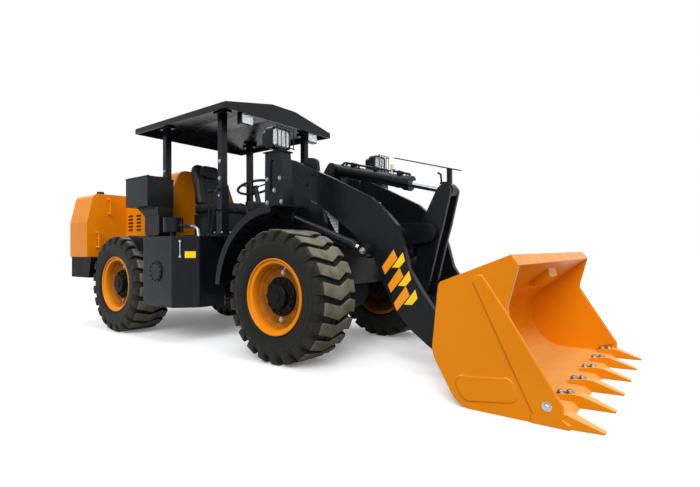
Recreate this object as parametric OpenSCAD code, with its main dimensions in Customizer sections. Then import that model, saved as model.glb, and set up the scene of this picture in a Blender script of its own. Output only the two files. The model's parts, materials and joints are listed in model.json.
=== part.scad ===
// Articulated wheel loader with a front bucket, an open operator's platform and a canopy.
// Millimetres, +X forward, +Y left, +Z up. Stations along the machine are counted from
// the steering pivot, and the whole model is then shifted to stand over its own middle.

/* [Wheels] */
// Distance between the front and the rear axle
wheelbase = 2540; // [2500:10:2600]
// Distance between the wheel centres across the machine
track = 1510; // [1490:5:1530]
// Radius of a tyre at the tips of its lugs
tyre_r = 537.5; // [520:0.5:545]
// Width of a tyre
tyre_w = 420; // [380:5:430]
// Number of lugs in each half of a tyre's tread
lug_count = 22; // [18:1:24]
// Height of the lugs over the tread's floor
lug_h = 30; // [20:1:36]
// Radius of the rim's flange
flange_r = 307; // [290:1:320]
// Width of the rim over its flanges
rim_w = 392; // [370:2:396]
// Radius of the wheel hub
hub_r = 155; // [130:1:165]
// Radius of the axle's spindle in the hub
spindle_r = 60; // [45:1:70]

/* [Frame] */
// Thickness of the frame's side plates
frame_t = 40; // [30:1:45]
// Half distance between the front frame's side plates, at their middle
front_frame_y = 320; // [310:1:325]
// Half distance between the rear frame's side plates, at their middle
rear_frame_y = 380; // [370:1:395]
// Radius of the steering pivot's lugs
lug_r = 90; // [75:1:100]
// Radius of the steering pivot's pins
pivot_pin_r = 38; // [28:1:45]
// Thickness of the rear frame's pivot lugs
lug_t = 50; // [40:1:54]
// Underside of the frame above the ground
belly_z = 420; // [400:5:440]
// Height of the operator's floor
deck_z = 1070; // [1060:2:1090]

/* [Lift linkage] */
// Thickness of each lift arm's plate
arm_t = 50; // [40:1:54]
// Half distance between the lift arms, at their middle
arm_y = 395; // [390:1:398]
// Radius of the pins of the lift arms and the bucket
arm_pin_r = 38; // [28:1:45]
// Radius of the pins of the bell crank and the link
link_pin_r = 32; // [24:1:38]
// Radius of the tilt cylinder's barrel
tilt_barrel_r = 56; // [48:1:60]
// Radius of the tilt cylinder's rod
tilt_rod_r = 32; // [24:1:36]
// Radius of each lift cylinder's barrel
lift_barrel_r = 44; // [38:1:45]
// Radius of each lift cylinder's rod
lift_rod_r = 25; // [20:1:30]
// Radius of each steering cylinder's barrel
steer_barrel_r = 38; // [32:1:42]
// Radius of each steering cylinder's rod
steer_rod_r = 20; // [16:1:25]

/* [Bucket] */
// Width of the bucket over its side plates
bucket_w = 1970; // [1940:10:2000]
// Thickness of the bucket's side plates
bucket_side_t = 25; // [18:1:32]
// Radius of the bucket's rounded back, inside
bucket_back_r = 288; // [280:1:292]
// Number of teeth on the cutting edge
tooth_count = 6; // [4:1:8]
// Width of a tooth
tooth_w = 84; // [60:2:100]
// Reach of a tooth past the cutting edge
tooth_reach = 173; // [120:1:200]

/* [Body] */
// Half width of the bonnet's sides
hood_half_w = 500; // [460:5:520]
// Height of the bonnet's crown
hood_top_z = 1865; // [1800:5:1885]
// Thickness of the sheet metal
sheet_t = 12; // [8:1:16]
// Half width of the rear cowl
cowl_half_w = 975; // [940:5:985]
// Half width of the side tanks over the machine
tank_half_w = 950; // [900:5:970]
// Number of louvres in each column of the bonnet's side
louvre_count = 5; // [3:1:6]

/* [Canopy] */
// Length of the canopy's roof
roof_len = 1624; // [1560:4:1680]
// Half width of the canopy's roof
roof_half_w = 766; // [740:2:780]
// Height of the roof's flat middle
roof_top_z = 2416; // [2400:4:2500]
// Drop of the roof's sloped wings
roof_drop = 116; // [60:2:140]
// Side of the square canopy posts
post_side = 66; // [56:2:80]
// Half distance between the left and right canopy posts
post_y = 597; // [580:1:605]

/* [Hidden] */
$fn = 48;

// Colours
paint_orange = "#e8871e";
paint_dark = "#2b2d33";
rubber = "#3a3836";
steel = "#b9bcc0";
cast = "#3a3d42";
vinyl = "#1c1c1e";
lens = "#e9ecef";

// Clearance of a pin in its bore, and of a rod in its barrel
fit = 0.3;
// Clearance beside a piece that moves past another
run = 6;
// Gap of a loose eye's pin to the plate that it stands against
touch = 0.8;

// Axle and wheel stations
axle_x = wheelbase / 2;
wheel_y = track / 2;
axle_z = tyre_r;
front_end_x = 3573;
rear_end_x = -2450;
mid_x = (front_end_x + rear_end_x) / 2;

// Linkage pins in the side view: arm pivot, bucket pin, crank pivot, crank top, crank foot,
// link's bucket pin, tilt cylinder's base, lift cylinder's base and its eye on the arm
arm_o = [900, 1600];
bucket_b = [2530, 190];
crank_p = [2200, 1040];
crank_q = [2330, 1385];
crank_s = [2100, 480];
link_k = [2600, 400];
tilt_t = [1140, 1690];
lift_g = [800, 1270];
lift_e = [1830, 900];
// Steering cylinder's base on the rear frame and eye on the front frame, in plan, and its height
steer_a = [-420, 200];
steer_e = [260, 240];
steer_z = 720;

// Layers across the machine
lift_cyl_y = arm_y + arm_t / 2 + 10 + lift_barrel_r;
tower_t = 20;
tower_y = lift_cyl_y + lift_barrel_r + run + tower_t / 2;
crank_t = 30;
crank_y = 75;
ear_t = 30;
crank_ear_y = crank_y + crank_t / 2 + ear_t / 2 + 12;
link_half_w = crank_y - crank_t / 2 - 12;
ear_gap = 7;
bucket_ear_out_y = arm_y + arm_t / 2 + ear_gap + ear_t / 2;
bucket_ear_in_y = arm_y - arm_t / 2 - ear_gap - ear_t / 2;
link_ear_y = link_half_w + ear_gap + ear_t / 2;
shaft_z = 620;

// Unit vector, angle brought to half a turn, rounded corner and outline with rounded corners:
// each point is [x, z] or [x, z, corner radius]
function unit(v) = v / norm(v);
function wrap(a) = a > 180 ? a - 360 : a < -180 ? a + 360 : a;
function corner(a, p, b, r, n = 6) =
  let (u = unit(a - p), v = unit(b - p), half = acos(u * v) / 2,
       c = p + unit(u + v) * r / sin(half),
       s = p + u * r / tan(half), e = p + v * r / tan(half),
       t0 = atan2(s.y - c.y, s.x - c.x), dt = wrap(atan2(e.y - c.y, e.x - c.x) - t0))
  [for (i = [0:n]) c + r * [cos(t0 + dt * i / n), sin(t0 + dt * i / n)]];
function flat(p) = [p.x, p.y];
function smooth(pts) =
  let (n = len(pts))
  [for (i = [0:n - 1]) each len(pts[i]) < 3 ? [flat(pts[i])]
    : corner(flat(pts[(i + n - 1) % n]), flat(pts[i]), flat(pts[(i + 1) % n]), pts[i][2])];
function arc(c, r, a0, a1, n = 12) = [for (i = [0:n]) c + r * [cos(a0 + (a1 - a0) * i / n),
                                                              sin(a0 + (a1 - a0) * i / n)]];

// Moves a piece from the stations counted from the steering pivot to the model's own middle
module place() translate([-mid_x, 0, 0]) children();
module both_sides() {
  children();
  mirror([0, 1, 0]) children();
}
// Plate in the side view, at its middle y
module slab(y, t) translate([0, y, 0]) rotate([90, 0, 0]) linear_extrude(t, center = true) children();
// Round bar across the machine
module cross(p, r, y0, y1) translate([p.x, y0, p.y]) rotate([-90, 0, 0]) cylinder(r = r, h = y1 - y0);
// Round bar in the side view from a to b
module bar(y, a, b, r)
  translate([a.x, y, a.y]) rotate([0, atan2(b.x - a.x, b.y - a.y), 0]) cylinder(r = r, h = norm(b - a));
module box(x0, x1, y0, y1, z0, z1) translate([x0, y0, z0]) cube([x1 - x0, y1 - y0, z1 - z0]);
// Straight web with a round head, in the side view
module web(a, b, r, w) {
  translate(b) circle(r);
  d = unit(b - a);
  n = [-d.y, d.x];
  polygon([a - n * w, b - n * r, b + n * r, a + n * w]);
}

// Wheels
bead_w = rim_w - 28;
barrel_r = flange_r - 11;
module tyre_section() {
  h = tyre_w / 2;
  b = bead_w / 2 - 1;
  floor_r = tyre_r - lug_h;
  polygon(concat(
    [[barrel_r + fit, -b], [flange_r + 2, -b], [flange_r + 20, -h + 10], [flange_r + 85, -h + 2]],
    [[tyre_r - 92, -h + 5], [floor_r - 8, -h + 34], [floor_r, -h + 70]],
    [[floor_r, h - 70], [floor_r - 8, h - 34], [tyre_r - 92, h - 5]],
    [[flange_r + 85, h - 2], [flange_r + 20, h - 10], [flange_r + 2, b], [barrel_r + fit, b]]));
}
// Ring that the lugs fill, out to their tips and down over the shoulders
lug_root_r = tyre_r - 100;
module lug_ring_section() {
  h = tyre_w / 2;
  inner_r = tyre_r - lug_h - 12;
  polygon([[inner_r, -h + 60], [tyre_r - 96, -h + 24], [tyre_r - 88, -h], [tyre_r - 24, -h + 9],
    [tyre_r, -h + 34], [tyre_r, h - 34], [tyre_r - 24, h - 9], [tyre_r - 88, h], [tyre_r - 96, h - 24],
    [inner_r, h - 60]]);
}
// Plan of one lug: from the shoulder to a kink, and on to a narrow tip past the tread's middle
module lug_plan() {
  h = tyre_w / 2;
  polygon([[-h - 5, -44], [-h + 32, -44], [-h * 0.4, -22], [h * 0.18, -48], [h * 0.18, -4], [-h * 0.4, 72],
    [-h + 32, 52], [-h - 5, 48]]);
}
module lugs() intersection() {
  rotate_extrude() lug_ring_section();
  union() for (i = [0:lug_count - 1], half = [0, 1])
    rotate([0, 0, (i + half / 2) * 360 / lug_count]) mirror([0, 0, half])
      translate([lug_root_r, 0, 0]) rotate([0, 90, 0]) rotate([0, 0, 180])
        linear_extrude(tyre_r + 20 - lug_root_r) lug_plan();
}
module rim_section() {
  w = rim_w / 2;
  disc_y = 66;
  ring_r = flange_r - 45;
  polygon([[barrel_r - 16, -w], [flange_r, -w], [flange_r, -bead_w / 2], [barrel_r, -bead_w / 2],
    [barrel_r, bead_w / 2], [flange_r, bead_w / 2], [flange_r, w - 4], [flange_r - 6, w],
    [flange_r - 14, w - 6], [flange_r - 18, w - 18], [ring_r + 4, w - 24], [ring_r, w - 34],
    [ring_r - 14, disc_y + 44], [hub_r + 66, disc_y + 20], [hub_r + fit, disc_y + 20],
    [hub_r + fit, disc_y], [hub_r + 68, disc_y], [barrel_r - 20, disc_y - 30]]);
}
module hub_section() {
  polygon([[spindle_r + fit, -60], [hub_r + 30, -60], [hub_r + 30, 64], [hub_r, 66], [hub_r, 108],
    [hub_r - 14, 116], [hub_r - 50, 120], [hub_r - 56, 150], [hub_r - 66, 158], [0, 160],
    [0, 60], [spindle_r + fit, 60]]);
}
// Puts a revolved piece at a wheel: fore is 1 or -1, side is 1 for left
module at_wheel(fore, side)
  place() translate([fore * axle_x, side * wheel_y, axle_z]) rotate([-90 * side, 0, 0]) children();
module tyre(fore, side) color(rubber) at_wheel(fore, side) {
  rotate_extrude() tyre_section();
  lugs();
}
module rim(fore, side) color(paint_orange) at_wheel(fore, side) rotate_extrude($fn = 72) rim_section();
module hub(fore, side) color(cast) at_wheel(fore, side) rotate_extrude($fn = 72) hub_section();

// Axle: tube, differential, brake housings, spindles and pinion nose towards the pivot
module axle(fore, plate_y, seat_z) {
  brake_in = wheel_y - 190;
  spindle_end = wheel_y + 58;
  color(cast) place() translate([fore * axle_x, 0, axle_z]) {
    rotate([90, 0, 0]) rotate_extrude() polygon(concat(
      [[0, -spindle_end], [spindle_r, -spindle_end], [spindle_r, -wheel_y + 66]],
      [[150, -wheel_y + 66], [150, -brake_in], [88, -brake_in + 20], [88, -250], [185, -110]],
      [[185, 110], [88, 250], [88, brake_in - 20], [150, brake_in], [150, wheel_y - 66]],
      [[spindle_r, wheel_y - 66], [spindle_r, spindle_end], [0, spindle_end]]));
    rotate([0, -90 * fore, 0]) cylinder(r1 = 120, r2 = 70, h = 330);
    for (s = [-1, 1]) translate([-90, s * plate_y - frame_t / 2, 60])
      cube([180, frame_t, seat_z - axle_z - 60]);
  }
}
// Underside of the frames over the axles
front_seat_z = 640;
rear_seat_z = 660;
module front_axle() axle(1, front_frame_y, front_seat_z);
module rear_axle() axle(-1, rear_frame_y, rear_seat_z);

gearbox_x0 = -930;
gearbox_x1 = -560;
// Propeller shafts: the front one carries the ball of the joint at the pivot
pinion_x = axle_x - 330;
module front_drive_shaft() color(cast) place() {
  translate([0, 0, shaft_z]) sphere(r = 42);
  bar(0, [36, shaft_z], [pinion_x - 30, axle_z], 30);
  bar(0, [pinion_x - 40, axle_z], [pinion_x - touch, axle_z], 62);
}
module rear_drive_shaft() color(cast) place() {
  bar(0, [gearbox_x1 + touch, shaft_z], [-90, shaft_z], 30);
  bar(0, [-110, shaft_z], [-60, shaft_z], 46);
}

// Steering pivot lugs: height of the rear lug's middle at the lower and the upper hinge
lug_gap = 5;
front_lug_t = 35;
hinge_z = [belly_z + 75, deck_z - 125];
carrier_x = 140;
carrier_t = 40;
module pivot_plate(sense, z, t) {
  translate([0, 0, z]) cylinder(r = lug_r, h = t);
  translate([sense > 0 ? 0 : -carrier_x - 2, -lug_r, z]) cube([carrier_x + 2, 2 * lug_r, t]);
}
module pin_bore(r) translate([0, 0, belly_z - 50]) cylinder(r = r, h = deck_z - belly_z);

axle_cut_r = 136;
// Rear frame: side plates, pivot carrier, cross plates and the axle's cradle
module rear_chassis() color(paint_dark) place() difference() {
  union() {
    both_sides() slab(rear_frame_y, frame_t) polygon(smooth([
      [-carrier_x, belly_z, 30], [-carrier_x, deck_z - deck_t], [-900, deck_z - deck_t, 30],
      [-930, hood_z0, 20], [rear_end_x + 180, hood_z0], [rear_end_x + 180, 560, 60],
      [-axle_x - 420, 470, 120], [-axle_x - 330, rear_seat_z, 60], [-axle_x + 330, rear_seat_z, 60],
      [-axle_x + 430, belly_z, 80]]));
    box(-carrier_x - carrier_t, -carrier_x, -rear_frame_y, rear_frame_y, belly_z, deck_z - deck_t);
    for (z = hinge_z) pivot_plate(-1, z - lug_t / 2, lug_t);
    box(-720, -690, -rear_frame_y, rear_frame_y, belly_z + 60, shaft_z - 90);
    box(rear_end_x + 180, rear_end_x + 220, -rear_frame_y, rear_frame_y, 620, hood_z0);
    for (s = [-1, 1]) translate([steer_a.x, s * steer_a.y, steer_z - 95]) {
      cylinder(r = link_pin_r - 4, h = 190);
      for (z = [0, 165]) {
        translate([0, 0, z]) cylinder(r = 52, h = 25);
        translate([-52, min(0, s * (rear_frame_y - steer_a.y)), z])
          cube([104, rear_frame_y - steer_a.y, 25]);
      }
    }
  }
  pin_bore(pivot_pin_r + fit);
  translate([-400, 0, shaft_z]) rotate([0, 90, 0]) cylinder(r = 75, h = 400);
  for (s = [-1, 1]) translate([-carrier_x - carrier_t - 1, s * 94 - (s < 0 ? 246 : 0), steer_z - 70])
    cube([carrier_t + 2, 246, 140]);
}

// Front frame: side plates with the towers, the low outer plates, pivot lugs and pins
arm_cap_t = 12;
module tower_outline() polygon(smooth([
  [740, deck_z - 90], [740, 1280, 60], [arm_o.x - 100, arm_o.y + 60, 80],
  [arm_o.x + 20, arm_o.y + 110, 90], [1250, 1360, 60], [1300, 1150, 40], [1290, deck_z - 90]]));
// Low outer plate that carries the lift cylinder's base and the mudguard
outer_plate_x = [720, 1100];
module outer_plate_outline() polygon(smooth([
  [outer_plate_x[0], wheel_top_z], [outer_plate_x[0], lift_g.y + 70, 60], [lift_g.x + 90, lift_g.y + 70, 60],
  [lift_g.x + 190, guard_top_z, 40], [outer_plate_x[1], guard_top_z, 30], [outer_plate_x[1], wheel_top_z]]));
wheel_top_z = tyre_r * 2 + 12;
module front_frame() color(paint_dark) place() difference() {
  union() {
    both_sides() {
      slab(front_frame_y, frame_t) {
        polygon(smooth([
          [carrier_x, belly_z, 30], [carrier_x, deck_z - 60], [1500, deck_z - 60, 60],
          [1500, 560, 60], [axle_x + 150, 470], [axle_x + 150, front_seat_z, 40],
          [axle_x - 150, front_seat_z, 40], [axle_x - 150, belly_z, 40]]));
        tower_outline();
        polygon(smooth([[1000, 1500], [1060, 1760, 60], [1200, 1740, 60], [1240, 1380]]));
      }
      slab(tower_y, tower_t) outer_plate_outline();
      box(740, 1090, front_frame_y, tower_y + tower_t / 2, wheel_top_z, wheel_top_z + tower_t);
      cross(arm_o, arm_pin_r, front_frame_y - frame_t / 2 - 8, arm_y + arm_t / 2 + run);
      cross(arm_o, arm_pin_r + 16, arm_y + arm_t / 2 + fit, arm_y + arm_t / 2 + arm_cap_t);
      cross(arm_o, arm_pin_r + 40, front_frame_y, arm_y - arm_t / 2 - fit);
      cross(lift_g, link_pin_r - 4, front_frame_y - frame_t / 2, tower_y + tower_t / 2 + 10);
      slab(48, 26) web([1090, 1600], tilt_t, 54, 70);
      translate([steer_e.x, steer_e.y, steer_z - 95]) {
        cylinder(r = link_pin_r - 4, h = 36);
        translate([0, 0, 190 - 36]) cylinder(r = link_pin_r - 4, h = 36);
        for (z = [0, 165]) {
          translate([0, 0, z]) cylinder(r = 52, h = 25);
          translate([-52, 0, z]) cube([104, front_frame_y - steer_e.y, 25]);
        }
      }
    }
    box(carrier_x, carrier_x + carrier_t, -front_frame_y, front_frame_y, belly_z, deck_z - 60);
    for (z = hinge_z, s = [-1, 1])
      pivot_plate(1, z + s * (lug_t / 2 + lug_gap + front_lug_t / 2) - front_lug_t / 2, front_lug_t);
    box(1460, 1500, -front_frame_y, front_frame_y, 600, deck_z - 60);
    box(1040, 1130, -front_frame_y, front_frame_y, tilt_t.y - 150, tilt_t.y - 66);
    box(780, 820, -front_frame_y, front_frame_y, 1000, 1420);
    cross(tilt_t, link_pin_r, -61, 61);
  }
  pin_bore(pivot_pin_r + fit);
  translate([0, 0, shaft_z]) rotate([0, 90, 0]) cylinder(r = 75, h = 400);
  both_sides() {
    box(carrier_x - 1, carrier_x + carrier_t + 1, 100, front_frame_y, steer_z - 70, steer_z + 70);
    box(carrier_x - 1, 350, front_frame_y - frame_t, front_frame_y + frame_t, steer_z - 70, steer_z + 70);
  }
}
module hinge_pins() color(steel) place() for (z = hinge_z)
  translate([0, 0, z - lug_t / 2 - lug_gap - front_lug_t - 8])
    cylinder(r = pivot_pin_r, h = lug_t + 2 * (lug_gap + front_lug_t + 8));

// Front mudguards: rolled plates round the wheels, with flat tops under the lamp posts
guard_r = tyre_r + 185;
guard_in_y = tower_y + tower_t / 2 + 8;
guard_out_y = 950;
guard_t = 10;
guard_lip = 50;
guard_top_z = axle_z + guard_r + guard_t;
module guard_outline(fore, a0, a1) {
  c = [fore * axle_x, axle_z];
  polygon(concat(arc(c, guard_r, a0, a1), arc(c, guard_r + guard_t, a1, a0)));
}
module front_fenders() color(paint_dark) place() both_sides() {
  slab((guard_in_y + guard_out_y) / 2, guard_out_y - guard_in_y) {
    guard_outline(1, 92, 174);
    translate([axle_x - 40, guard_top_z - guard_t]) square([70, guard_t]);
  }
  slab(guard_out_y - guard_t / 2, guard_t)
    polygon(concat(arc([axle_x, axle_z], guard_r - guard_lip, 92, 174),
      arc([axle_x, axle_z], guard_r, 174, 92)));
  box(outer_plate_x[0] + 200, outer_plate_x[1], tower_y + tower_t / 2, guard_in_y + 2,
    guard_top_z - 110, guard_top_z);
}

// Headlamp posts on the mudguards, and the lamps with their guards
lamp_post_y = 752;
lamp_x = 1108;
lamp_z = 1843;
lamp_half_h = 88;
lamp_half_w = 108;
lamp_post_w = 120;
lamp_post_z = 1722;
module lamp_posts() color(paint_dark) place() both_sides() {
  difference() {
    slab(lamp_post_y, lamp_post_w) polygon([[1034, guard_top_z], [1262, guard_top_z], [1236, 1600],
      [1222, lamp_post_z], [1040, lamp_post_z]]);
    slab(lamp_post_y + lamp_post_w / 2, 24)
      polygon(smooth([[1098, 1380, 26], [1166, 1380, 26], [1156, 1660, 26], [1104, 1660, 26]]));
  }
  box(1030, 1236, lamp_post_y - 75, lamp_post_y + 75, lamp_post_z, lamp_post_z + 10);
  box(1070, 1150, lamp_post_y - 16, lamp_post_y + 16, lamp_post_z + 9, lamp_z - lamp_half_h - fit);
}
cage_x = 118;
module lamp_face(inset) polygon(smooth([
  [-lamp_half_w + inset, -lamp_half_h + inset, 34], [lamp_half_w - inset, -lamp_half_h + inset, 34],
  [lamp_half_w - inset, lamp_half_h - inset, 34], [-lamp_half_w + inset, lamp_half_h - inset, 34]]));
module headlamps() color(lens) place() both_sides() translate([lamp_x, lamp_post_y, lamp_z]) {
  difference() {
    union() {
      across_x(-10, 66) lamp_face(0);
      across_x(-70, -10) lamp_face(20);
    }
    across_x(54, 70) lamp_face(14);
  }
  for (i = [-2:2]) translate([cage_x, i * 46, -lamp_half_h]) cylinder(r = 4, h = 2 * lamp_half_h, $fn = 16);
  for (z = [-1, 1]) {
    translate([cage_x, 0, z * (lamp_half_h - 4)]) rotate([90, 0, 0])
      cylinder(r = 4, h = 2 * lamp_half_w, center = true, $fn = 16);
    for (y = [-1, 1]) translate([cage_x, y * (lamp_half_w - 14), z * (lamp_half_h - 14)])
      rotate([0, -90, 0]) cylinder(r = 4, h = cage_x - 20, $fn = 16);
  }
}

// Perforated plate between the towers, ahead of the operator
module tread_plate() color(steel) place() difference() {
  box(700, 780, -front_frame_y + frame_t / 2, front_frame_y - frame_t / 2, 1030, 1042);
  for (i = [-3:3]) translate([740, i * 75, 1020]) cylinder(r = 14, h = 40);
}

// Lift arms: two bent plates, cross tube, ears for the bell crank and the crank's pin
module arm_outline() polygon(smooth([
  [arm_o.x - 20, 1477, 60], [1261, 1330, 60], [1636, 1067, 60], [1742, 970, 60], [1881, 830, 80],
  [1970, 620, 80], [2073, 433, 80], [2206, 299, 80], [2365, 187, 60], [bucket_b.x - 40, 120, 60],
  [bucket_b.x + 60, 150, 50], [bucket_b.x + 50, 270, 50], [2405, 457, 80], [2304, 591, 80],
  [2193, 760, 80], [2152, 920, 60], [2094, 1097, 60], [1990, 1206, 60], [1847, 1329, 60],
  [1455, 1522, 80], [arm_o.x + 60, 1745, 80], [arm_o.x - 120, 1690, 90], [arm_o.x - 120, 1560, 80]]));
tube_c = [1930, 1030];
arm_rib_t = 9;
arm_rib_r = 22;
module rib(a, b) {
  web(a, b, arm_rib_r, arm_rib_r);
  translate(a) circle(arm_rib_r);
}
module lift_arms() color(paint_dark) place() difference() {
  union() {
    both_sides() {
      slab(arm_y, arm_t) arm_outline();
      slab(arm_y + arm_t / 2, 2 * arm_rib_t) {
        rib([985, 1690], [1215, 1585]);
        rib([1025, 1580], [1150, 1500]);
      }
      slab(crank_ear_y, ear_t) web(tube_c, crank_p, 75, 95);
      cross(lift_e, 62, arm_y, arm_y + arm_t / 2);
    }
    cross(tube_c, 75, -arm_y, arm_y);
    cross(crank_p, link_pin_r, -crank_ear_y, crank_ear_y);
  }
  both_sides() {
    cross(arm_o, arm_pin_r + fit, 0, arm_y + arm_t);
    cross(bucket_b, arm_pin_r + fit, 0, arm_y + arm_t);
  }
}

// Bell crank: two crescent plates on a sleeve, with the tilt rod's eye between their tops
module crank_outline() polygon(smooth([
  [crank_q.x - 62, crank_q.y + 10, 50], [crank_q.x, crank_q.y + 70, 60], [crank_q.x + 62, crank_q.y + 5, 50],
  [crank_p.x + 120, crank_p.y + 60, 120], [crank_p.x + 70, crank_p.y - 110, 120],
  [crank_s.x + 70, crank_s.y + 60, 90], [crank_s.x + 50, crank_s.y - 60, 50],
  [crank_s.x - 58, crank_s.y - 50, 50], [crank_s.x - 60, crank_s.y + 60, 90],
  [crank_p.x - 105, crank_p.y - 90, 120], [crank_p.x - 70, crank_p.y + 90, 120]]));
module bell_crank() color(paint_dark) place() difference() {
  union() {
    both_sides() slab(crank_y, crank_t) crank_outline();
    cross(crank_p, link_pin_r + 26, -crank_y, crank_y);
  }
  cross(crank_p, link_pin_r + fit, -crank_y - crank_t, crank_y + crank_t);
}

// Link from the crank's foot to the bucket: its rear eye is left loose between the crank's plates
module tilt_link() color(paint_dark) place() difference() {
  union() {
    cross(link_k, 58, -link_half_w, link_half_w);
    cross(crank_s, 56, -link_half_w, link_half_w);
    slab(0, 2 * link_half_w - 24) polygon([crank_s + [0, -42], link_k + [0, -42], link_k + [0, 42],
      crank_s + [0, 42]]);
    cross(crank_s, link_pin_r, -crank_y + crank_t / 2 + touch, crank_y - crank_t / 2 - touch);
  }
  cross(link_k, link_pin_r + fit, -link_half_w - 1, link_half_w + 1);
}

// Bucket: rolled back, floor, side plates, top lip and the ears on its back
bucket_c = [2990, 318];
bucket_floor_t = bucket_c.y - bucket_back_r;
lip_x = 3400;
strip_t = 10;
pad_t = 7;
plate_y = bucket_w / 2 - strip_t;
module bucket_side_outline() polygon(smooth([
  [3180, 819, 12], [3108, 559, 120], [3389, 110, 20], [lip_x - 140, 66], [lip_x - 140, 0], [2830, 0, 150],
  [2663, 290, 150], [2711, 711, 40], [3140, 877, 20]]));
module bucket_shell_outline() polygon(concat(
  smooth([[lip_x - 40, bucket_floor_t], [lip_x, 0], [2830, 0, 150], [2663, 290, 150],
    [2711, 711, 40], [3140, 877], [3180, 819]]),
  arc(bucket_c, bucket_back_r, 112, 270, 18)));
module bucket() color(paint_orange) place() difference() {
  union() {
    slab(0, 2 * plate_y - 2) bucket_shell_outline();
    both_sides() {
      slab(plate_y - bucket_side_t / 2, bucket_side_t) bucket_side_outline();
      slab(plate_y, 2 * strip_t) {
        polygon(smooth([[2928, 726, 14], [2972, 766, 14], [3110, 562, 60], [3388, 112, 16], [3388, 44],
          [3250, 44]]));
        polygon([[3238, 2], [3238, 44], [lip_x - 12, 44], [lip_x + 28, 22], [lip_x + 24, 2]]);
      }
      slab(plate_y, 2 * pad_t)
        polygon(smooth([[2795, 176, 46], [3132, 208, 46], [3178, 92, 46], [2868, 46, 46]]));
      for (y = [bucket_ear_out_y, bucket_ear_in_y])
        slab(y, ear_t) web([2760, 260], bucket_b, 78, 200);
      slab(link_ear_y, ear_t) web([2790, 430], link_k, 62, 170);
      cross(bucket_b, arm_pin_r, bucket_ear_in_y - ear_t / 2 - 8, bucket_ear_out_y + ear_t / 2 + 8);
    }
    cross(link_k, link_pin_r, -link_ear_y - ear_t / 2 - 6, link_ear_y + ear_t / 2 + 6);
  }
  slab(0, 2 * (plate_y - bucket_side_t)) polygon(concat(
    arc(bucket_c, bucket_back_r, 112, 270, 18),
    [[lip_x - 40, bucket_floor_t], [lip_x + 100, bucket_floor_t], [lip_x + 100, 790], [3160, 790]]));
}
tooth_z = bucket_floor_t + fit;
// Distance between the middles of the two corner teeth, inside the shoes
tooth_spread = 2 * (plate_y - strip_t - fit) - tooth_w;
module tooth_side() polygon([
  [lip_x - 40, tooth_z], [lip_x - 135, tooth_z], [lip_x - 135, tooth_z + 24], [lip_x - 40, tooth_z + 40],
  [lip_x + 10, tooth_z + 38], [lip_x + tooth_reach, 9], [lip_x + tooth_reach, 2], [lip_x + fit, fit]]);
module tooth_plan() polygon([
  [lip_x - 136, -tooth_w / 2], [lip_x + 16, -tooth_w / 2], [lip_x + tooth_reach + 1, -tooth_w / 4],
  [lip_x + tooth_reach + 1, tooth_w / 4], [lip_x + 16, tooth_w / 2], [lip_x - 136, tooth_w / 2]]);
module bucket_teeth() color(paint_orange) place()
  for (i = [0:tooth_count - 1])
    translate([0, (i / (tooth_count - 1) - 0.5) * tooth_spread, 0]) intersection() {
      slab(0, tooth_w) tooth_side();
      linear_extrude(tooth_z + 60) tooth_plan();
    }

// Tilt cylinder: barrel with its base eye, and rod with its eye
tilt_len = norm(crank_q - tilt_t);
tilt_dir = unit(crank_q - tilt_t);
barrel_end = 880;
function along(a, d, s) = a + d * s;
module tilt_barrel() color(paint_dark) place() difference() {
  union() {
    cross(tilt_t, 52, -28, 28);
    bar(0, along(tilt_t, tilt_dir, 30), along(tilt_t, tilt_dir, 80), 28);
    bar(0, along(tilt_t, tilt_dir, 66), along(tilt_t, tilt_dir, barrel_end), tilt_barrel_r);
    bar(0, along(tilt_t, tilt_dir, barrel_end - 70), along(tilt_t, tilt_dir, barrel_end), tilt_barrel_r + 10);
  }
  cross(tilt_t, link_pin_r + fit, -40, 40);
  bar(0, along(tilt_t, tilt_dir, 160), along(tilt_t, tilt_dir, barrel_end + 1), tilt_rod_r + fit);
}
eye_r = 58;
module tilt_rod() color(steel) place() {
  bar(0, along(tilt_t, tilt_dir, 420), along(tilt_t, tilt_dir, tilt_len - 30), tilt_rod_r);
  cross(crank_q, eye_r, -link_half_w, link_half_w);
  cross(crank_q, link_pin_r, -crank_y + crank_t / 2 + touch, crank_y - crank_t / 2 - touch);
}
// Bucket level bar: a flat bar over the cylinder on a post that straddles the rod's eye, and a hook
level_a = [1824, 1708];
level_b = [2438, 1531];
level_post_x = [2322, 2358];
module level_bar() color(paint_dark) place() difference() {
  union() {
    slab(0, 34) polygon([level_a, level_b, level_b + [0, 9], level_a + [0, 9]]);
    slab(0, 30) polygon([[level_post_x[0], crank_q.y], [level_post_x[1], crank_q.y], [level_post_x[1], 1559],
      [level_post_x[0], 1569]]);
    bar(0, [2270, crank_q.y + 60], [2262, 1525], 8);
    bar(0, [2266, 1521], [2236, 1540], 8);
    box(2258, level_post_x[0] + 1, -9, 9, crank_q.y + 56, crank_q.y + 74);
  }
  cross(crank_q, eye_r + fit, -30, 30);
}

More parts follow.
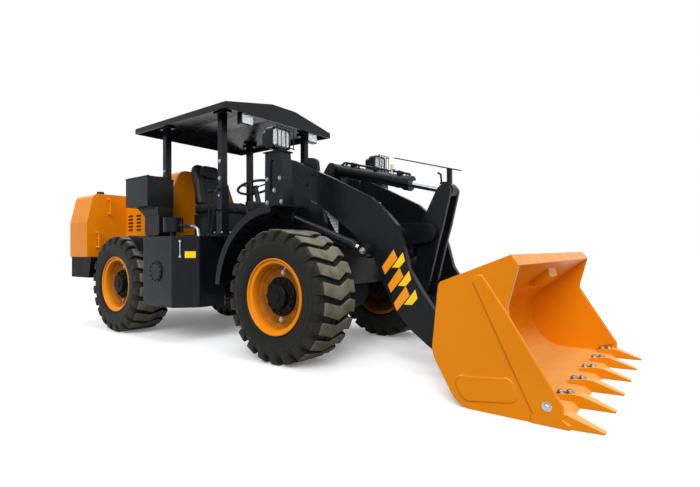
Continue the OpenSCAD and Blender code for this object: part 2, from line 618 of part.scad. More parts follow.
// Lift cylinders outside the arms
lift_len = norm(lift_e - lift_g);
lift_dir = unit(lift_e - lift_g);
lift_barrel_end = 860;
lift_eye_w = 72;
module lift_barrels() color(paint_dark) place() both_sides() difference() {
  union() {
    cross(lift_g, 50, lift_cyl_y - lift_eye_w / 2, lift_cyl_y + lift_eye_w / 2);
    bar(lift_cyl_y, along(lift_g, lift_dir, 36), along(lift_g, lift_dir, lift_barrel_end), lift_barrel_r);
  }
  cross(lift_g, link_pin_r - 4 + fit, lift_cyl_y - lift_eye_w, lift_cyl_y + lift_eye_w);
  bar(lift_cyl_y, along(lift_g, lift_dir, 140), along(lift_g, lift_dir, lift_barrel_end + 1), lift_rod_r + fit);
}
module lift_rods() color(steel) place() both_sides() {
  bar(lift_cyl_y, along(lift_g, lift_dir, 300), along(lift_g, lift_dir, lift_len - 30), lift_rod_r);
  cross(lift_e, 50, lift_cyl_y - lift_eye_w / 2, lift_cyl_y + lift_eye_w / 2);
  cross(lift_e, 28, arm_y + arm_t / 2 + touch, lift_cyl_y + lift_eye_w / 2 + 6);
}

// Steering cylinders, one each side of the pivot
steer_len = norm(steer_e - steer_a);
steer_angle = atan2(steer_e.y - steer_a.y, steer_e.x - steer_a.x);
steer_barrel_end = 440;
module steer_frame(side) place() translate([steer_a.x, side * steer_a.y, steer_z])
  rotate([0, 0, side * steer_angle]) children();
module steer_barrel(side) color(paint_dark) steer_frame(side) difference() {
  union() {
    translate([0, 0, -30]) cylinder(r = 46, h = 60);
    translate([34, 0, 0]) rotate([0, 90, 0]) cylinder(r = steer_barrel_r, h = steer_barrel_end - 34);
  }
  translate([0, 0, -40]) cylinder(r = link_pin_r - 4 + fit, h = 80);
  translate([110, 0, 0]) rotate([0, 90, 0]) cylinder(r = steer_rod_r + fit, h = steer_barrel_end);
}
module steer_rod(side) color(steel) steer_frame(side) {
  translate([300, 0, 0]) rotate([0, 90, 0]) cylinder(r = steer_rod_r, h = steer_len - 330);
  translate([steer_len, 0, -30]) cylinder(r = 44, h = 60);
  translate([steer_len, 0, -59 + touch]) cylinder(r = link_pin_r - 6, h = 118 - 2 * touch);
}

// Counterweight wrapped round the tail, cut back round the rear tyres
tail_half_w = cowl_half_w + 2;
tail_front_x = -1790;
hitch_r = 26;
hitch_x = rear_end_x + 38;
tail_z0 = 590;
tail_z1 = 920;
module tail_plan() polygon(smooth([
  [rear_end_x, -tail_half_w, 160], [tail_front_x, -tail_half_w], [tail_front_x, tail_half_w],
  [rear_end_x, tail_half_w, 160]]));
wheel_room = tyre_r + 40;
module counterweight() color(paint_dark) place() difference() {
  translate([0, 0, tail_z0]) linear_extrude(tail_z1 - tail_z0) tail_plan();
  box(cowl_x0 - 8, tail_front_x + 1, -tail_half_w - 1, tail_half_w + 1, cowl_z0 - fit, tail_z1 + 1);
  box(rear_end_x + 180, 0, -rear_frame_y - frame_t / 2, rear_frame_y + frame_t / 2, 0, 2000);
  translate([-axle_x, 0, axle_z]) rotate([90, 0, 0])
    cylinder(r = wheel_room, h = 3 * track, center = true, $fn = 96);
  box(rear_end_x - 1, cowl_x0 - 8, -60, 60, 700, 800);
  translate([hitch_x, 0, tail_z0 - 10]) cylinder(r = hitch_r, h = 400);
}

// Bonnet over the engine: sides with louvres, sloped shoulders and a raised crown
hood_x0 = -1900;
hood_x1 = -960;
hood_z0 = 960;
louvre_x = [-1782, -1587];
louvre_z = 1170;
louvre_pitch = 44;
louvre_len = 98;
module hood_outline(inset) polygon(smooth([
  [-hood_half_w + inset, hood_z0], [-hood_half_w + inset, 1440, 60 - inset],
  [-330 + inset, hood_top_z - inset, 120 - inset], [330 - inset, hood_top_z - inset, 120 - inset],
  [hood_half_w - inset, 1440, 60 - inset], [hood_half_w - inset, hood_z0]]));
module across_x(x0, x1) translate([x0, 0, 0]) rotate([90, 0, 90]) linear_extrude(x1 - x0) children();
module hood() color(paint_orange) place() difference() {
  across_x(hood_x0, hood_x1) hood_outline(0);
  across_x(hood_x0 + sheet_t, hood_x1 - sheet_t) union() {
    hood_outline(sheet_t);
    translate([-hood_half_w + sheet_t, hood_z0 - 50]) square([2 * (hood_half_w - sheet_t), 60]);
  }
  for (s = [-1, 1], column = [0, 1], i = [0:louvre_count - 1])
    translate([louvre_x[column], s * hood_half_w, louvre_z + i * louvre_pitch])
      cube([louvre_len, 4 * sheet_t, louvre_pitch / 2], center = true);
}
module engine_block() color(cast) place() {
  box(-1880, -1120, -230, 230, axle_z + 210, 1380);
  for (x = [-1800, -1260])
    box(x, x + 80, -rear_frame_y + frame_t / 2 + fit, rear_frame_y - frame_t / 2 - fit,
      axle_z + 240, axle_z + 280);
}
module transmission() color(cast) place() {
  box(gearbox_x0, gearbox_x1, -210, 210, shaft_z - 90 + fit, 900);
}

// Rear cowl: wide housing of the radiator and the tanks beside it
cowl_x0 = -2366;
cowl_x1 = -1900;
cowl_z0 = 838;
cowl_top_half_w = 896;
module cowl_outline(inset) polygon(smooth([
  [-cowl_half_w + inset, cowl_z0 + inset], [-cowl_half_w + inset, 1260, 40],
  [-cowl_top_half_w + inset, 1610 - inset, 70], [cowl_top_half_w - inset, 1610 - inset, 70],
  [cowl_half_w - inset, 1260, 40], [cowl_half_w - inset, cowl_z0 + inset]]));
grille_half_w = 560;
module rear_cowl() color(paint_orange) place() difference() {
  across_x(cowl_x0, cowl_x1) cowl_outline(0);
  across_x(cowl_x0 + 30, cowl_x1 - sheet_t) cowl_outline(sheet_t);
  box(cowl_x0 - 1, cowl_x0 + 40, -grille_half_w, grille_half_w, 1030, 1520);
  box(cowl_x0 + 31, cowl_x1 + 50, -rear_frame_y - frame_t / 2 - fit, rear_frame_y + frame_t / 2 + fit,
    cowl_z0 - 1, hood_z0);
}
module radiator_grille() color(paint_dark) place() {
  box(cowl_x0 + 4, cowl_x0 + 16, -grille_half_w, grille_half_w, 1030, 1050);
  box(cowl_x0 + 4, cowl_x0 + 16, -grille_half_w, grille_half_w, 1500, 1520);
  for (i = [-14:14]) translate([cowl_x0 + 10, i * 38, 1030]) cylinder(r = 5, h = 490, $fn = 16);
  box(cowl_x0 + 70, cowl_x0 + 170, -grille_half_w, grille_half_w, hood_z0 + fit, 1540);
}

// Operator's floor, side tanks, steps and toolbox
deck_front_x = 270;
deck_rear_x = hood_x1;
deck_t = 20;
module platform() color(paint_dark) place() translate([0, 0, deck_z - deck_t]) linear_extrude(deck_t)
  polygon(smooth([[deck_rear_x, -hood_half_w], [-890, -hood_half_w], [-890, -660], [60, -660, 60],
    [deck_front_x, -480, 60], [deck_front_x, 480, 60], [60, 660, 60], [-890, 660], [-890, hood_half_w],
    [deck_rear_x, hood_half_w]]));
tank_in_y = rear_frame_y + frame_t / 2;
module tank_outline() polygon(smooth([
  [-690, -tank_half_w, 40], [-130, -tank_half_w, 30], [53, -767, 30], [53, -tank_in_y - 60, 30],
  [-60, -tank_in_y], [-690, -tank_in_y]]));
module tank() translate([0, 0, 350]) linear_extrude(deck_z - deck_t - 350) tank_outline();
module tank_right() color(paint_dark) place() {
  tank();
  translate([-420, -tank_half_w, 700]) rotate([90, 0, 0]) cylinder(r = 110, h = 12);
}
module tank_left() color(paint_dark) place() mirror([0, 1, 0]) difference() {
  tank();
  for (z = [470, 760]) box(-560, -200, -tank_half_w - 1, -tank_half_w + 150, z, z + 170);
}
toolbox_x = [-1180, -735];
toolbox_y = [655, 870];
toolbox_z = [1390, 1700];
module rear_fenders() color(paint_dark) place() both_sides() {
  slab((hood_half_w + guard_out_y) / 2, guard_out_y - hood_half_w)
    polygon(concat(arc([-axle_x, axle_z], tyre_r + 60, 38, 128), arc([-axle_x, axle_z], tyre_r + 72, 128, 38)));
  slab((toolbox_y[0] + toolbox_y[1]) / 2, toolbox_y[1] - toolbox_y[0])
    polygon(smooth([[toolbox_x[0], 1120, 40], [toolbox_x[1], 1120, 40],
      [toolbox_x[1], toolbox_z[0], 40], [toolbox_x[0], toolbox_z[0], 40]]));
}
module toolbox() color(paint_dark) place() {
  difference() {
    box(toolbox_x[0], toolbox_x[1], -toolbox_y[1], -toolbox_y[0], toolbox_z[0], toolbox_z[1]);
    box(toolbox_x[0] + sheet_t, toolbox_x[1] - sheet_t, -toolbox_y[1] + sheet_t, -toolbox_y[0] - sheet_t,
      toolbox_z[0] + sheet_t, toolbox_z[1] + 1);
  }
  box(toolbox_x[1], toolbox_x[1] + sheet_t, -toolbox_y[1], -post_y + post_side / 2, toolbox_z[0], toolbox_z[1]);
}
lid_t = 16;
module toolbox_lid() color(paint_dark) place() {
  box(toolbox_x[0] - 4, toolbox_x[1] + 4, -toolbox_y[1] - 4, -toolbox_y[0],
    toolbox_z[1] + fit, toolbox_z[1] + lid_t);
  translate([toolbox_x[0] + 220, -(toolbox_y[0] + toolbox_y[1]) / 2, toolbox_z[1] + lid_t]) {
    for (s = [-1, 1]) translate([s * 70, 0, -1]) cylinder(r = 5, h = 34, $fn = 16);
    translate([-76, 0, 30]) rotate([0, 90, 0]) cylinder(r = 5, h = 152, $fn = 16);
  }
}
handle_h = 176;
handle_r = 11;
handle_reach = 60;
module handle() {
  for (z = [0, handle_h]) translate([0, 0, z]) rotate([0, 90, 0]) cylinder(r = handle_r, h = handle_reach);
  translate([handle_reach, 0, -handle_r]) cylinder(r = handle_r, h = handle_h + 2 * handle_r);
}
module grab_handles() color(paint_orange) place() both_sides() {
  translate([cowl_x1, 726, 1369]) handle();
  translate([cowl_x1, 862, 957]) handle();
}
module air_filter() color(cast) place() translate([-430, -750, deck_z - deck_t]) {
  cylinder(r = 30, h = 60);
  translate([0, 0, 50]) cylinder(r = 100, h = 150);
}

// Canopy: folded roof on four telescoping posts
roof_front_x = 454;
roof_rear_x = roof_front_x - roof_len;
roof_flat_half = 170;
post_x = [190, -795];
function roof_under(y) = roof_top_z - sheet_t
  - roof_drop * (y - roof_flat_half) / (roof_half_w - sheet_t - roof_flat_half);
module roof_outline(drop) polygon([
  [-roof_half_w + drop, roof_top_z - roof_drop - 60], [-roof_half_w + drop, roof_top_z - roof_drop - drop],
  [-roof_flat_half, roof_top_z - drop], [roof_flat_half, roof_top_z - drop],
  [roof_half_w - drop, roof_top_z - roof_drop - drop], [roof_half_w - drop, roof_top_z - roof_drop - 60]]);
module canopy_roof() color(paint_dark) place() difference() {
  across_x(roof_rear_x, roof_front_x) roof_outline(0);
  across_x(roof_rear_x + sheet_t, roof_front_x - sheet_t) union() {
    roof_outline(sheet_t);
    translate([-roof_half_w + sheet_t, roof_top_z - roof_drop - 100]) square([2 * (roof_half_w - sheet_t), 60]);
  }
}
module canopy_posts() color(paint_dark) place() both_sides() for (x = post_x) translate([x, post_y, 0]) {
  h = roof_under(post_y + post_side / 2 + 10) - fit;
  translate([-post_side / 2, -post_side / 2, deck_z]) cube([post_side, post_side, h - deck_z]);
  translate([-post_side / 2 - 10, -post_side / 2 - 10, deck_z]) cube([post_side + 20, post_side + 20, 480]);
  translate([-90, -post_side / 2 - 10, h - 40]) cube([180, post_side + 20, 40]);
}
lamp_top_z = roof_top_z - roof_drop - 40;
module work_lamps() color(lens) place() both_sides()
  translate([roof_front_x - 90, 404, lamp_top_z - 120]) {
    cube([60, 150, 120]);
    translate([10, 60, 119]) cube([30, 30, roof_under(494) - fit - lamp_top_z + 1]);
  }

// Seat, steering column and wheel
seat_y = -60;
module seat_base() color(cast) place() box(-760, -330, seat_y - 210, seat_y + 210, deck_z, 1330);
module seat_pads() color(vinyl) place() {
  box(-780, -290, seat_y - 240, seat_y + 240, 1330.3, 1450);
  box(-880, -780 - fit, seat_y - 240, seat_y + 240, 1390, 1960);
}
module steering_column() color(cast) place() {
  box(80, 240, seat_y - 130, seat_y + 130, deck_z, 1330);
  bar(seat_y, [150, 1320], [60, 1600], 28);
  translate([60, seat_y, 1600]) rotate([0, -18, 0]) {
    rotate_extrude() translate([190, 0]) circle(14);
    for (a = [30, 150, 270]) rotate([0, 0, a]) translate([0, -10, -5]) cube([190, 20, 10]);
    cylinder(r = 40, h = 16, center = true);
  }
}

rear_chassis();
counterweight();
hood();
rear_cowl();
radiator_grille();
engine_block();
transmission();
rear_axle();
rear_drive_shaft();
platform();
tank_right();
tank_left();
toolbox();
toolbox_lid();
rear_fenders();
canopy_roof();
canopy_posts();
work_lamps();
seat_base();
seat_pads();
steering_column();
grab_handles();
air_filter();
front_frame();
hinge_pins();
front_axle();
front_fenders();
lamp_posts();
headlamps();
tread_plate();
front_drive_shaft();
tyre(1, 1);  // tyre_front_left
tyre(1, -1);  // tyre_front_right
tyre(-1, 1);  // tyre_rear_left
tyre(-1, -1);  // tyre_rear_right
rim(1, 1);  // rim_front_left
rim(1, -1);  // rim_front_right
rim(-1, 1);  // rim_rear_left
rim(-1, -1);  // rim_rear_right
hub(1, 1);  // hub_front_left
hub(1, -1);  // hub_front_right
hub(-1, 1);  // hub_rear_left
hub(-1, -1);  // hub_rear_right
lift_arms();
bell_crank();
tilt_link();
bucket();
bucket_teeth();
tilt_barrel();
tilt_rod();
level_bar();
lift_barrels();
lift_rods();
steer_barrel(1);  // steer_barrel_left
steer_barrel(-1);  // steer_barrel_right
steer_rod(1);  // steer_rod_left
steer_rod(-1);  // steer_rod_right
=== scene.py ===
"""Dresses the wheel loader's solids: finishes, tyres, bolts, lamps, pipes, seat and studio."""
import json
import math

import bmesh
import bpy
from mathutils import Matrix, Vector


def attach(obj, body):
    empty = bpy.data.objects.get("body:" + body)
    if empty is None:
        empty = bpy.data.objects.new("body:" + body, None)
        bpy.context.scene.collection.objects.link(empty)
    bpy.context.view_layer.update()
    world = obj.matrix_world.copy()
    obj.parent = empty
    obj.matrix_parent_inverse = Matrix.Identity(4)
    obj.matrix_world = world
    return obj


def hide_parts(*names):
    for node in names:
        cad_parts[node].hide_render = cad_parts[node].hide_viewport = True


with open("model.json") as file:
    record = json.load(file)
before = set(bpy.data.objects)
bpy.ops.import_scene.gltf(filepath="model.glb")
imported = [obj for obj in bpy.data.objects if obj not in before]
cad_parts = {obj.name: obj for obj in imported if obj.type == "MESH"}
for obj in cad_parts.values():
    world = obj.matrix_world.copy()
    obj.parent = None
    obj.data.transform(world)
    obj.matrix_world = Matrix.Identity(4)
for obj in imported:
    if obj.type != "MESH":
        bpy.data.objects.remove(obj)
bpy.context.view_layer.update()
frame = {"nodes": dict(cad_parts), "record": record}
scene = bpy.context.scene

# Stations are metres from the steering pivot; the model stands over its own middle, MID_X ahead of it
MID_X = 0.5615
AXLE_X = 1.27
WHEEL_Y = 0.755
TYRE_R = 0.5375
DECK_Z = 1.070
MM_PER_M = 1000
# Each wheel's name, then 1 for front or left and -1 for rear or right
WHEELS = [("front_left", 1, 1), ("front_right", 1, -1), ("rear_left", -1, 1), ("rear_right", -1, -1)]


def at(x, y, z):
    """A place counted from the steering pivot, in the model's frame."""
    return Vector((x - MID_X, y, z))


# Camera, fitted to the photograph
CAMERA_AT = Vector((3.3749, -3.4644, 0.9095))
CAMERA_YAW, CAMERA_PITCH, CAMERA_ROLL = 0.6468, 0.0129, -0.006
LENS_MM, SENSOR_MM = 23.584, 36.0


def make_camera():
    yaw, pitch, roll = CAMERA_YAW, CAMERA_PITCH, CAMERA_ROLL
    ahead = Vector((-math.sin(yaw) * math.cos(pitch), math.cos(yaw) * math.cos(pitch), math.sin(pitch)))
    level = Vector((math.cos(yaw), math.sin(yaw), 0))
    upright = level.cross(ahead)
    right = math.cos(roll) * level + math.sin(roll) * upright
    up = math.cos(roll) * upright - math.sin(roll) * level
    turn = Matrix((right, up, -ahead)).transposed()
    data = bpy.data.cameras.new("camera")
    data.lens, data.sensor_width, data.sensor_fit = LENS_MM, SENSOR_MM, "HORIZONTAL"
    camera = bpy.data.objects.new("camera", data)
    camera.matrix_world = Matrix.Translation(CAMERA_AT) @ turn.to_4x4()
    scene.collection.objects.link(camera)
    scene.camera = camera


make_camera()


# Nodes: one function adds any of them, and the others give effects that several finishes share
def linear(code):
    """A colour written as sRGB hex, in the linear values that nodes take."""
    parts = [int(code[i:i + 2], 16) / 255 for i in (1, 3, 5)]
    return [v / 12.92 if v <= 0.04045 else ((v + 0.055) / 1.055) ** 2.4 for v in parts] + [1.0]


def feed(tree, node, inputs):
    """Sets or links a node's inputs, each by its socket's name or number."""
    for key, value in inputs.items():
        if isinstance(value, bpy.types.NodeSocket):
            tree.links.new(value, node.inputs[key])
        else:
            node.inputs[key].default_value = value


def add(tree, kind, inputs=None, out=0, **settings):
    """Adds a node with its settings and links, and gives back one of its outputs."""
    node = tree.nodes.new(kind)
    for name, value in settings.items():
        setattr(node, name, value)
    feed(tree, node, inputs or {})
    return node.outputs[out] if len(node.outputs) else node


def blank(name):
    """A new material with its node tree, its shader and its Object coordinates."""
    material = bpy.data.materials.new(name)
    material.use_nodes = True
    tree = material.node_tree
    where = add(tree, "ShaderNodeTexCoord", out="Object")
    return material, tree, tree.nodes["Principled BSDF"], where


def patches(tree, where, size_mm, low, high, reach=(0.3, 0.7), detail=3.0):
    """A value between low and high in soft patches about size_mm across."""
    noise = add(tree, "ShaderNodeTexNoise", {"Vector": where, "Scale": MM_PER_M / size_mm, "Detail": detail})
    return add(tree, "ShaderNodeMapRange", {0: noise, 1: reach[0], 2: reach[1], 3: low, 4: high})


def two_tone(tree, where, size_mm, colour, other, reach=(0.35, 0.65), detail=3.0):
    """A colour with soft patches of another, about size_mm across."""
    share = patches(tree, where, size_mm, 0.0, 1.0, reach, detail)
    return add(tree, "ShaderNodeMix", {0: share, 6: linear(colour), 7: linear(other)}, 2, data_type="RGBA")


def relief(tree, height, depth_mm, edge_mm=0.0):
    """Normal of a fine relief; edge_mm rounds the sharp edges of cut plate in the light."""
    inputs = {"Height": height, "Distance": depth_mm / MM_PER_M}
    if edge_mm:
        inputs["Normal"] = add(tree, "ShaderNodeBevel", {"Radius": edge_mm / MM_PER_M}, samples=4)
    return add(tree, "ShaderNodeBump", inputs)


def grain(tree, where, size_mm, depth_mm, edge_mm=0.0, detail=3.0):
    """Normal of a grain about size_mm across."""
    noise = add(tree, "ShaderNodeTexNoise", {"Vector": where, "Scale": MM_PER_M / size_mm, "Detail": detail})
    return relief(tree, noise, depth_mm, edge_mm)


def dust_and_top_light(tree, most):
    """How much pale tint a face takes, both dust and painted top light: most where it looks up, none where it
    stands.
    """
    normal = add(tree, "ShaderNodeNewGeometry", out="Normal")
    up = add(tree, "ShaderNodeSeparateXYZ", {0: normal}, 2)
    return add(tree, "ShaderNodeMapRange", {0: up, 1: 0.35, 2: 1.0, 3: 0.0, 4: most})


# Finishes: a function for each way in which a surface is made
def enamel(name, colour, shade, dust, dust_and_top_light_most, rough, coat, grain_mm, grain_depth_mm, shine=0.14):
    """Sprayed enamel: two close tones in large patches, a fine grain in the film, and a pale tint where it
    looks up that is both dust and painted top light.
    """
    tone_mm, dust_mm, gloss_mm, edge_mm = 420, 70, 110, 5.0
    material, tree, shader, where = blank(name)
    tone = two_tone(tree, where, tone_mm, colour, shade)
    thin = patches(tree, where, dust_mm, 0.75, 1.0, detail=5.0)
    # Pale tint on faces that look up: dust, and painted top light where it is strong
    dust_and_top_light_share = add(tree, "ShaderNodeMath", {0: dust_and_top_light(tree, dust_and_top_light_most), 1: thin}, operation="MULTIPLY")
    feed(tree, shader, {
        "Base Color": add(tree, "ShaderNodeMix", {0: dust_and_top_light_share, 6: tone, 7: linear(dust)}, 2, data_type="RGBA"),
        "Roughness": patches(tree, where, gloss_mm, rough - 0.05, rough + 0.07, detail=4.0),
        "Normal": grain(tree, where, grain_mm, grain_depth_mm, edge_mm, 2.0),
        "Coat Weight": coat, "Coat Roughness": 0.14, "Specular IOR Level": shine})
    return material


def rim_enamel(name, colour, painted_well_shade, painted_well_shade_most, rough, well_rough):
    """Sprayed enamel under a painted brown shade, which deepens from the rim's flange into its well."""
    well_y, flange_y = WHEEL_Y + 0.09, WHEEL_Y + 0.170
    painted_shade_mm, grain_mm, grain_depth_mm, edge_mm = 60, 6, 0.02, 4.0
    material, tree, shader, where = blank(name)
    y = add(tree, "ShaderNodeSeparateXYZ", {0: where}, 1)
    across = add(tree, "ShaderNodeMath", {0: y}, operation="ABSOLUTE")
    # Painted shade: browner and darker the deeper into the well, broken into patches
    depth = add(tree, "ShaderNodeMapRange", {0: across, 1: well_y, 2: flange_y, 3: painted_well_shade_most, 4: 0.0})
    thin = patches(tree, where, painted_shade_mm, 0.75, 1.0, detail=4.0)
    share = add(tree, "ShaderNodeMath", {0: depth, 1: thin}, operation="MULTIPLY")
    feed(tree, shader, {
        "Base Color": add(tree, "ShaderNodeMix", {0: share, 6: linear(colour), 7: linear(painted_well_shade)}, 2,
                          data_type="RGBA"),
        "Roughness": add(tree, "ShaderNodeMapRange", {0: depth, 1: 0.0, 2: 0.8, 3: rough, 4: well_rough}),
        "Normal": grain(tree, where, grain_mm, grain_depth_mm, edge_mm, 2.0),
        "Specular IOR Level": 0.14})
    return material


def bare_metal(name, colour, stain, rough, grain_mm, grain_depth_mm):
    """Bare or plated metal: a slight stain, varied gloss and a fine surface grain."""
    stain_mm, gloss_mm = 35, 18
    material, tree, shader, where = blank(name)
    feed(tree, shader, {
        "Base Color": two_tone(tree, where, stain_mm, colour, stain, (0.35, 0.7), 4.0),
        "Roughness": patches(tree, where, gloss_mm, rough * 0.8, rough * 1.3),
        "Normal": grain(tree, where, grain_mm, grain_depth_mm),
        "Metallic": 1.0})
    return material


def moulded(name, colour, stain, rough, grain_mm, grain_depth_mm):
    """Vinyl and plastic: one tone with a stain and an even moulded grain."""
    stain_mm, gloss_mm = 60, 40
    material, tree, shader, where = blank(name)
    cells = add(tree, "ShaderNodeTexVoronoi", {"Vector": where, "Scale": MM_PER_M / grain_mm})
    feed(tree, shader, {
        "Base Color": two_tone(tree, where, stain_mm, colour, stain, detail=4.0),
        "Roughness": patches(tree, where, gloss_mm, rough - 0.06, rough + 0.06),
        "Normal": relief(tree, cells, grain_depth_mm),
        "Specular IOR Level": 0.25})
    return material


def tyre_rubber(name, axle_x, colour, dust):
    """Moulded rubber, with dried dust on the lugs' tops and a trace of it on the walls."""
    top_from, top_full, wall_from, wall_full = TYRE_R - 0.012, TYRE_R - 0.004, 0.33, 0.46
    dust_mm, grain_mm, grain_depth_mm = 90, 6, 0.6
    material, tree, shader, where = blank(name)
    from_axle = add(tree, "ShaderNodeVectorMath", {0: where, 1: at(axle_x, 0, TYRE_R)}, operation="SUBTRACT")
    flat = add(tree, "ShaderNodeVectorMath", {0: from_axle, 1: (1, 0, 1)}, operation="MULTIPLY")
    radius = add(tree, "ShaderNodeVectorMath", {0: flat}, "Value", operation="LENGTH")
    tops = add(tree, "ShaderNodeMapRange", {0: radius, 1: top_from, 2: top_full, 3: 0.0, 4: 0.75})
    wall = add(tree, "ShaderNodeMapRange", {0: radius, 1: wall_from, 2: wall_full, 3: 0.01, 4: 0.05})
    most = add(tree, "ShaderNodeMath", {0: tops, 1: wall}, operation="MAXIMUM")
    thin = patches(tree, where, dust_mm, 0.55, 1.0, (0.3, 0.6), 4.0)
    share = add(tree, "ShaderNodeMath", {0: most, 1: thin}, operation="MULTIPLY")
    feed(tree, shader, {
        "Base Color": add(tree, "ShaderNodeMix", {0: share, 6: linear(colour), 7: linear(dust)}, 2,
                          data_type="RGBA"),
        "Roughness": add(tree, "ShaderNodeMapRange", {0: share, 1: 0.0, 2: 0.6, 3: 0.52, 4: 0.86}),
        "Normal": grain(tree, where, grain_mm, grain_depth_mm, detail=4.0),
        "Specular IOR Level": 0.12})
    return material


def perforated(name, colour, stain, hole, pitch_mm, hole_share):
    """Sheet with round holes on a square pitch, in the plane of X and Z."""
    stain_mm = 40
    per_m = MM_PER_M / pitch_mm
    material, tree, shader, where = blank(name)
    grid = add(tree, "ShaderNodeVectorMath", {0: where, 1: (per_m, 0, per_m)}, operation="MULTIPLY")
    cell = add(tree, "ShaderNodeVectorMath", {0: grid}, operation="FRACTION")
    off = add(tree, "ShaderNodeVectorMath", {0: cell, 1: (0.5, 0, 0.5)}, "Value", operation="DISTANCE")
    inside = add(tree, "ShaderNodeMath", {0: off, 1: hole_share / 2}, operation="LESS_THAN")
    stained = patches(tree, where, stain_mm, 0.0, 0.35, detail=4.0)
    sheet = add(tree, "ShaderNodeMix", {0: stained, 6: linear(colour), 7: linear(stain)}, 2, data_type="RGBA")
    feed(tree, shader, {
        "Base Color": add(tree, "ShaderNodeMix", {0: inside, 6: sheet, 7: linear(hole)}, 2, data_type="RGBA"),
        "Roughness": add(tree, "ShaderNodeMapRange", {0: inside, 1: 0.0, 2: 1.0, 3: 0.45, 4: 0.9})})
    return material


def lamp_film(name, colour, shade, flute_mm, flute_depth_mm):
    """Vacuum-metallised lamp bowl: fine upright flutes in a mirror film, drawn white and half diffuse as a
    painted reflection that keeps the bowl bright.
    """
    # A wave node's bands lie a tenth of pi apart at a scale of 1
    scale = math.pi / 10 * MM_PER_M / flute_mm
    material, tree, shader, where = blank(name)
    flutes = add(tree, "ShaderNodeTexWave", {"Vector": where, "Scale": scale, "Distortion": 0.4}, 1,
                 bands_direction="Y")
    feed(tree, shader, {
        "Base Color": add(tree, "ShaderNodeMix", {0: flutes, 6: linear(colour), 7: linear(shade)}, 2,
                          data_type="RGBA"),
        "Normal": relief(tree, flutes, flute_depth_mm),
        # Half metallic over white: a painted reflection, bright whatever the film mirrors
        "Metallic": 0.5, "Roughness": 0.22})
    return material


def lamp_glass(name, colour, tint):
    """Clear moulded lamp glass with a faint ripple."""
    ripple_mm, ripple_depth_mm, tint_mm = 14, 0.5, 30
    material, tree, shader, where = blank(name)
    noise = add(tree, "ShaderNodeTexNoise", {"Vector": where, "Scale": MM_PER_M / tint_mm, "Detail": 3.0})
    feed(tree, shader, {
        "Base Color": add(tree, "ShaderNodeMix", {0: noise, 6: linear(colour), 7: linear(tint)}, 2,
                          data_type="RGBA"),
        "Normal": grain(tree, where, ripple_mm, ripple_depth_mm),
        "Transmission Weight": 0.9, "Roughness": 0.05, "IOR": 1.5})
    return material


# Gloss orange machine enamel sprayed on plate: an even warm colour, soft highlights, and a strong pale tint
# on top that is both dust and painted top light
ORANGE = enamel("gloss_orange_enamel", colour="#df8409", shade="#da7e06", dust="#f4cb7c", dust_and_top_light_most=0.6,
                rough=0.34, coat=0.03, grain_mm=9.0, grain_depth_mm=0.003, shine=0.12)
# Semi-gloss charcoal enamel on the frames, arms, tanks and canopy: nearly black, with broad grey highlights
DARK = enamel("charcoal_enamel", colour="#12151a", shade="#0e1115", dust="#3a3d42", dust_and_top_light_most=0.2,
              rough=0.26, coat=0.03, grain_mm=9.0, grain_depth_mm=0.003)
# Black enamel over sand castings: dull and pebbled, with a grain drawn coarser than sand so that it shows
CAST = enamel("painted_casting", colour="#08090a", shade="#060606", dust="#262522", dust_and_top_light_most=0.25,
              rough=0.5, coat=0.0, grain_mm=5.0, grain_depth_mm=0.2, shine=0.08)
# Yellow and orange enamel of the bars on the arms: bright, flat colour under a thin gloss
BAR_YELLOW = enamel("yellow_bar_enamel", colour="#ffd31c", shade="#f9c910", dust="#ffe075", dust_and_top_light_most=0.2,
                    rough=0.34, coat=0.25, grain_mm=3.0, grain_depth_mm=0.01)
BAR_ORANGE = enamel("orange_bar_enamel", colour="#f59a17", shade="#ee920f", dust="#f8bd6a", dust_and_top_light_most=0.2,
                    rough=0.34, coat=0.25, grain_mm=3.0, grain_depth_mm=0.01)
# Orange enamel of the rims, with a painted brown shade darkening into the well
RIM = rim_enamel("orange_enamel_painted_well_shade", colour="#df8409", painted_well_shade="#4c2407", painted_well_shade_most=0.88,
                 rough=0.34, well_rough=0.62)
# Bright zinc plating on bolts and fittings: a pale, slightly clouded sheen
ZINC = bare_metal("bright_zinc", colour="#b3b5b8", stain="#86888b", rough=0.34, grain_mm=4.0,
                  grain_depth_mm=0.05)
# Brass of the tee's cap: turned, yellow and a little dull
BRASS = bare_metal("brass_fitting", colour="#cdb45e", stain="#a48a45", rough=0.3, grain_mm=5.0,
                   grain_depth_mm=0.05)
# Hard chrome on the cylinder rods: ground, a sharp mirror
CHROME = bare_metal("hard_chrome", colour="#dfe2e5", stain="#c7cbcf", rough=0.1, grain_mm=9.0,
                    grain_depth_mm=0.01)
# Galvanised tread plate: dull grey with spangles
GALVANISED = bare_metal("galvanised_plate", colour="#b4b8bb", stain="#8e9296", rough=0.42, grain_mm=12.0,
                        grain_depth_mm=0.1)
# Galvanised sheet punched with 11 mm holes, 26 mm apart: a pale grey face with dark dots
PERFORATED = perforated("perforated_galvanised_sheet", colour="#c3c7ca", stain="#8e9296", hole="#141517",
                        pitch_mm=26.0, hole_share=0.42)
# Black embossed vinyl on the seat: a soft sheen, with a grain drawn coarser than life so that it shows
VINYL = moulded("black_grained_vinyl", colour="#161618", stain="#1c1c1f", rough=0.46, grain_mm=3.2,
                grain_depth_mm=0.35)
# Black moulded plastic and hose rubber: even and half dull, with a coarse grain so that it shows
PLASTIC = moulded("black_moulded_plastic", colour="#141416", stain="#1b1b1d", rough=0.5, grain_mm=2.5,
                  grain_depth_mm=0.15)
# White moulded plastic of the gauges' blank faces: plain and half dull
WHITE = moulded("white_moulded_plastic", colour="#e6e6e2", stain="#d9d9d4", rough=0.45, grain_mm=2.5,
                grain_depth_mm=0.05)
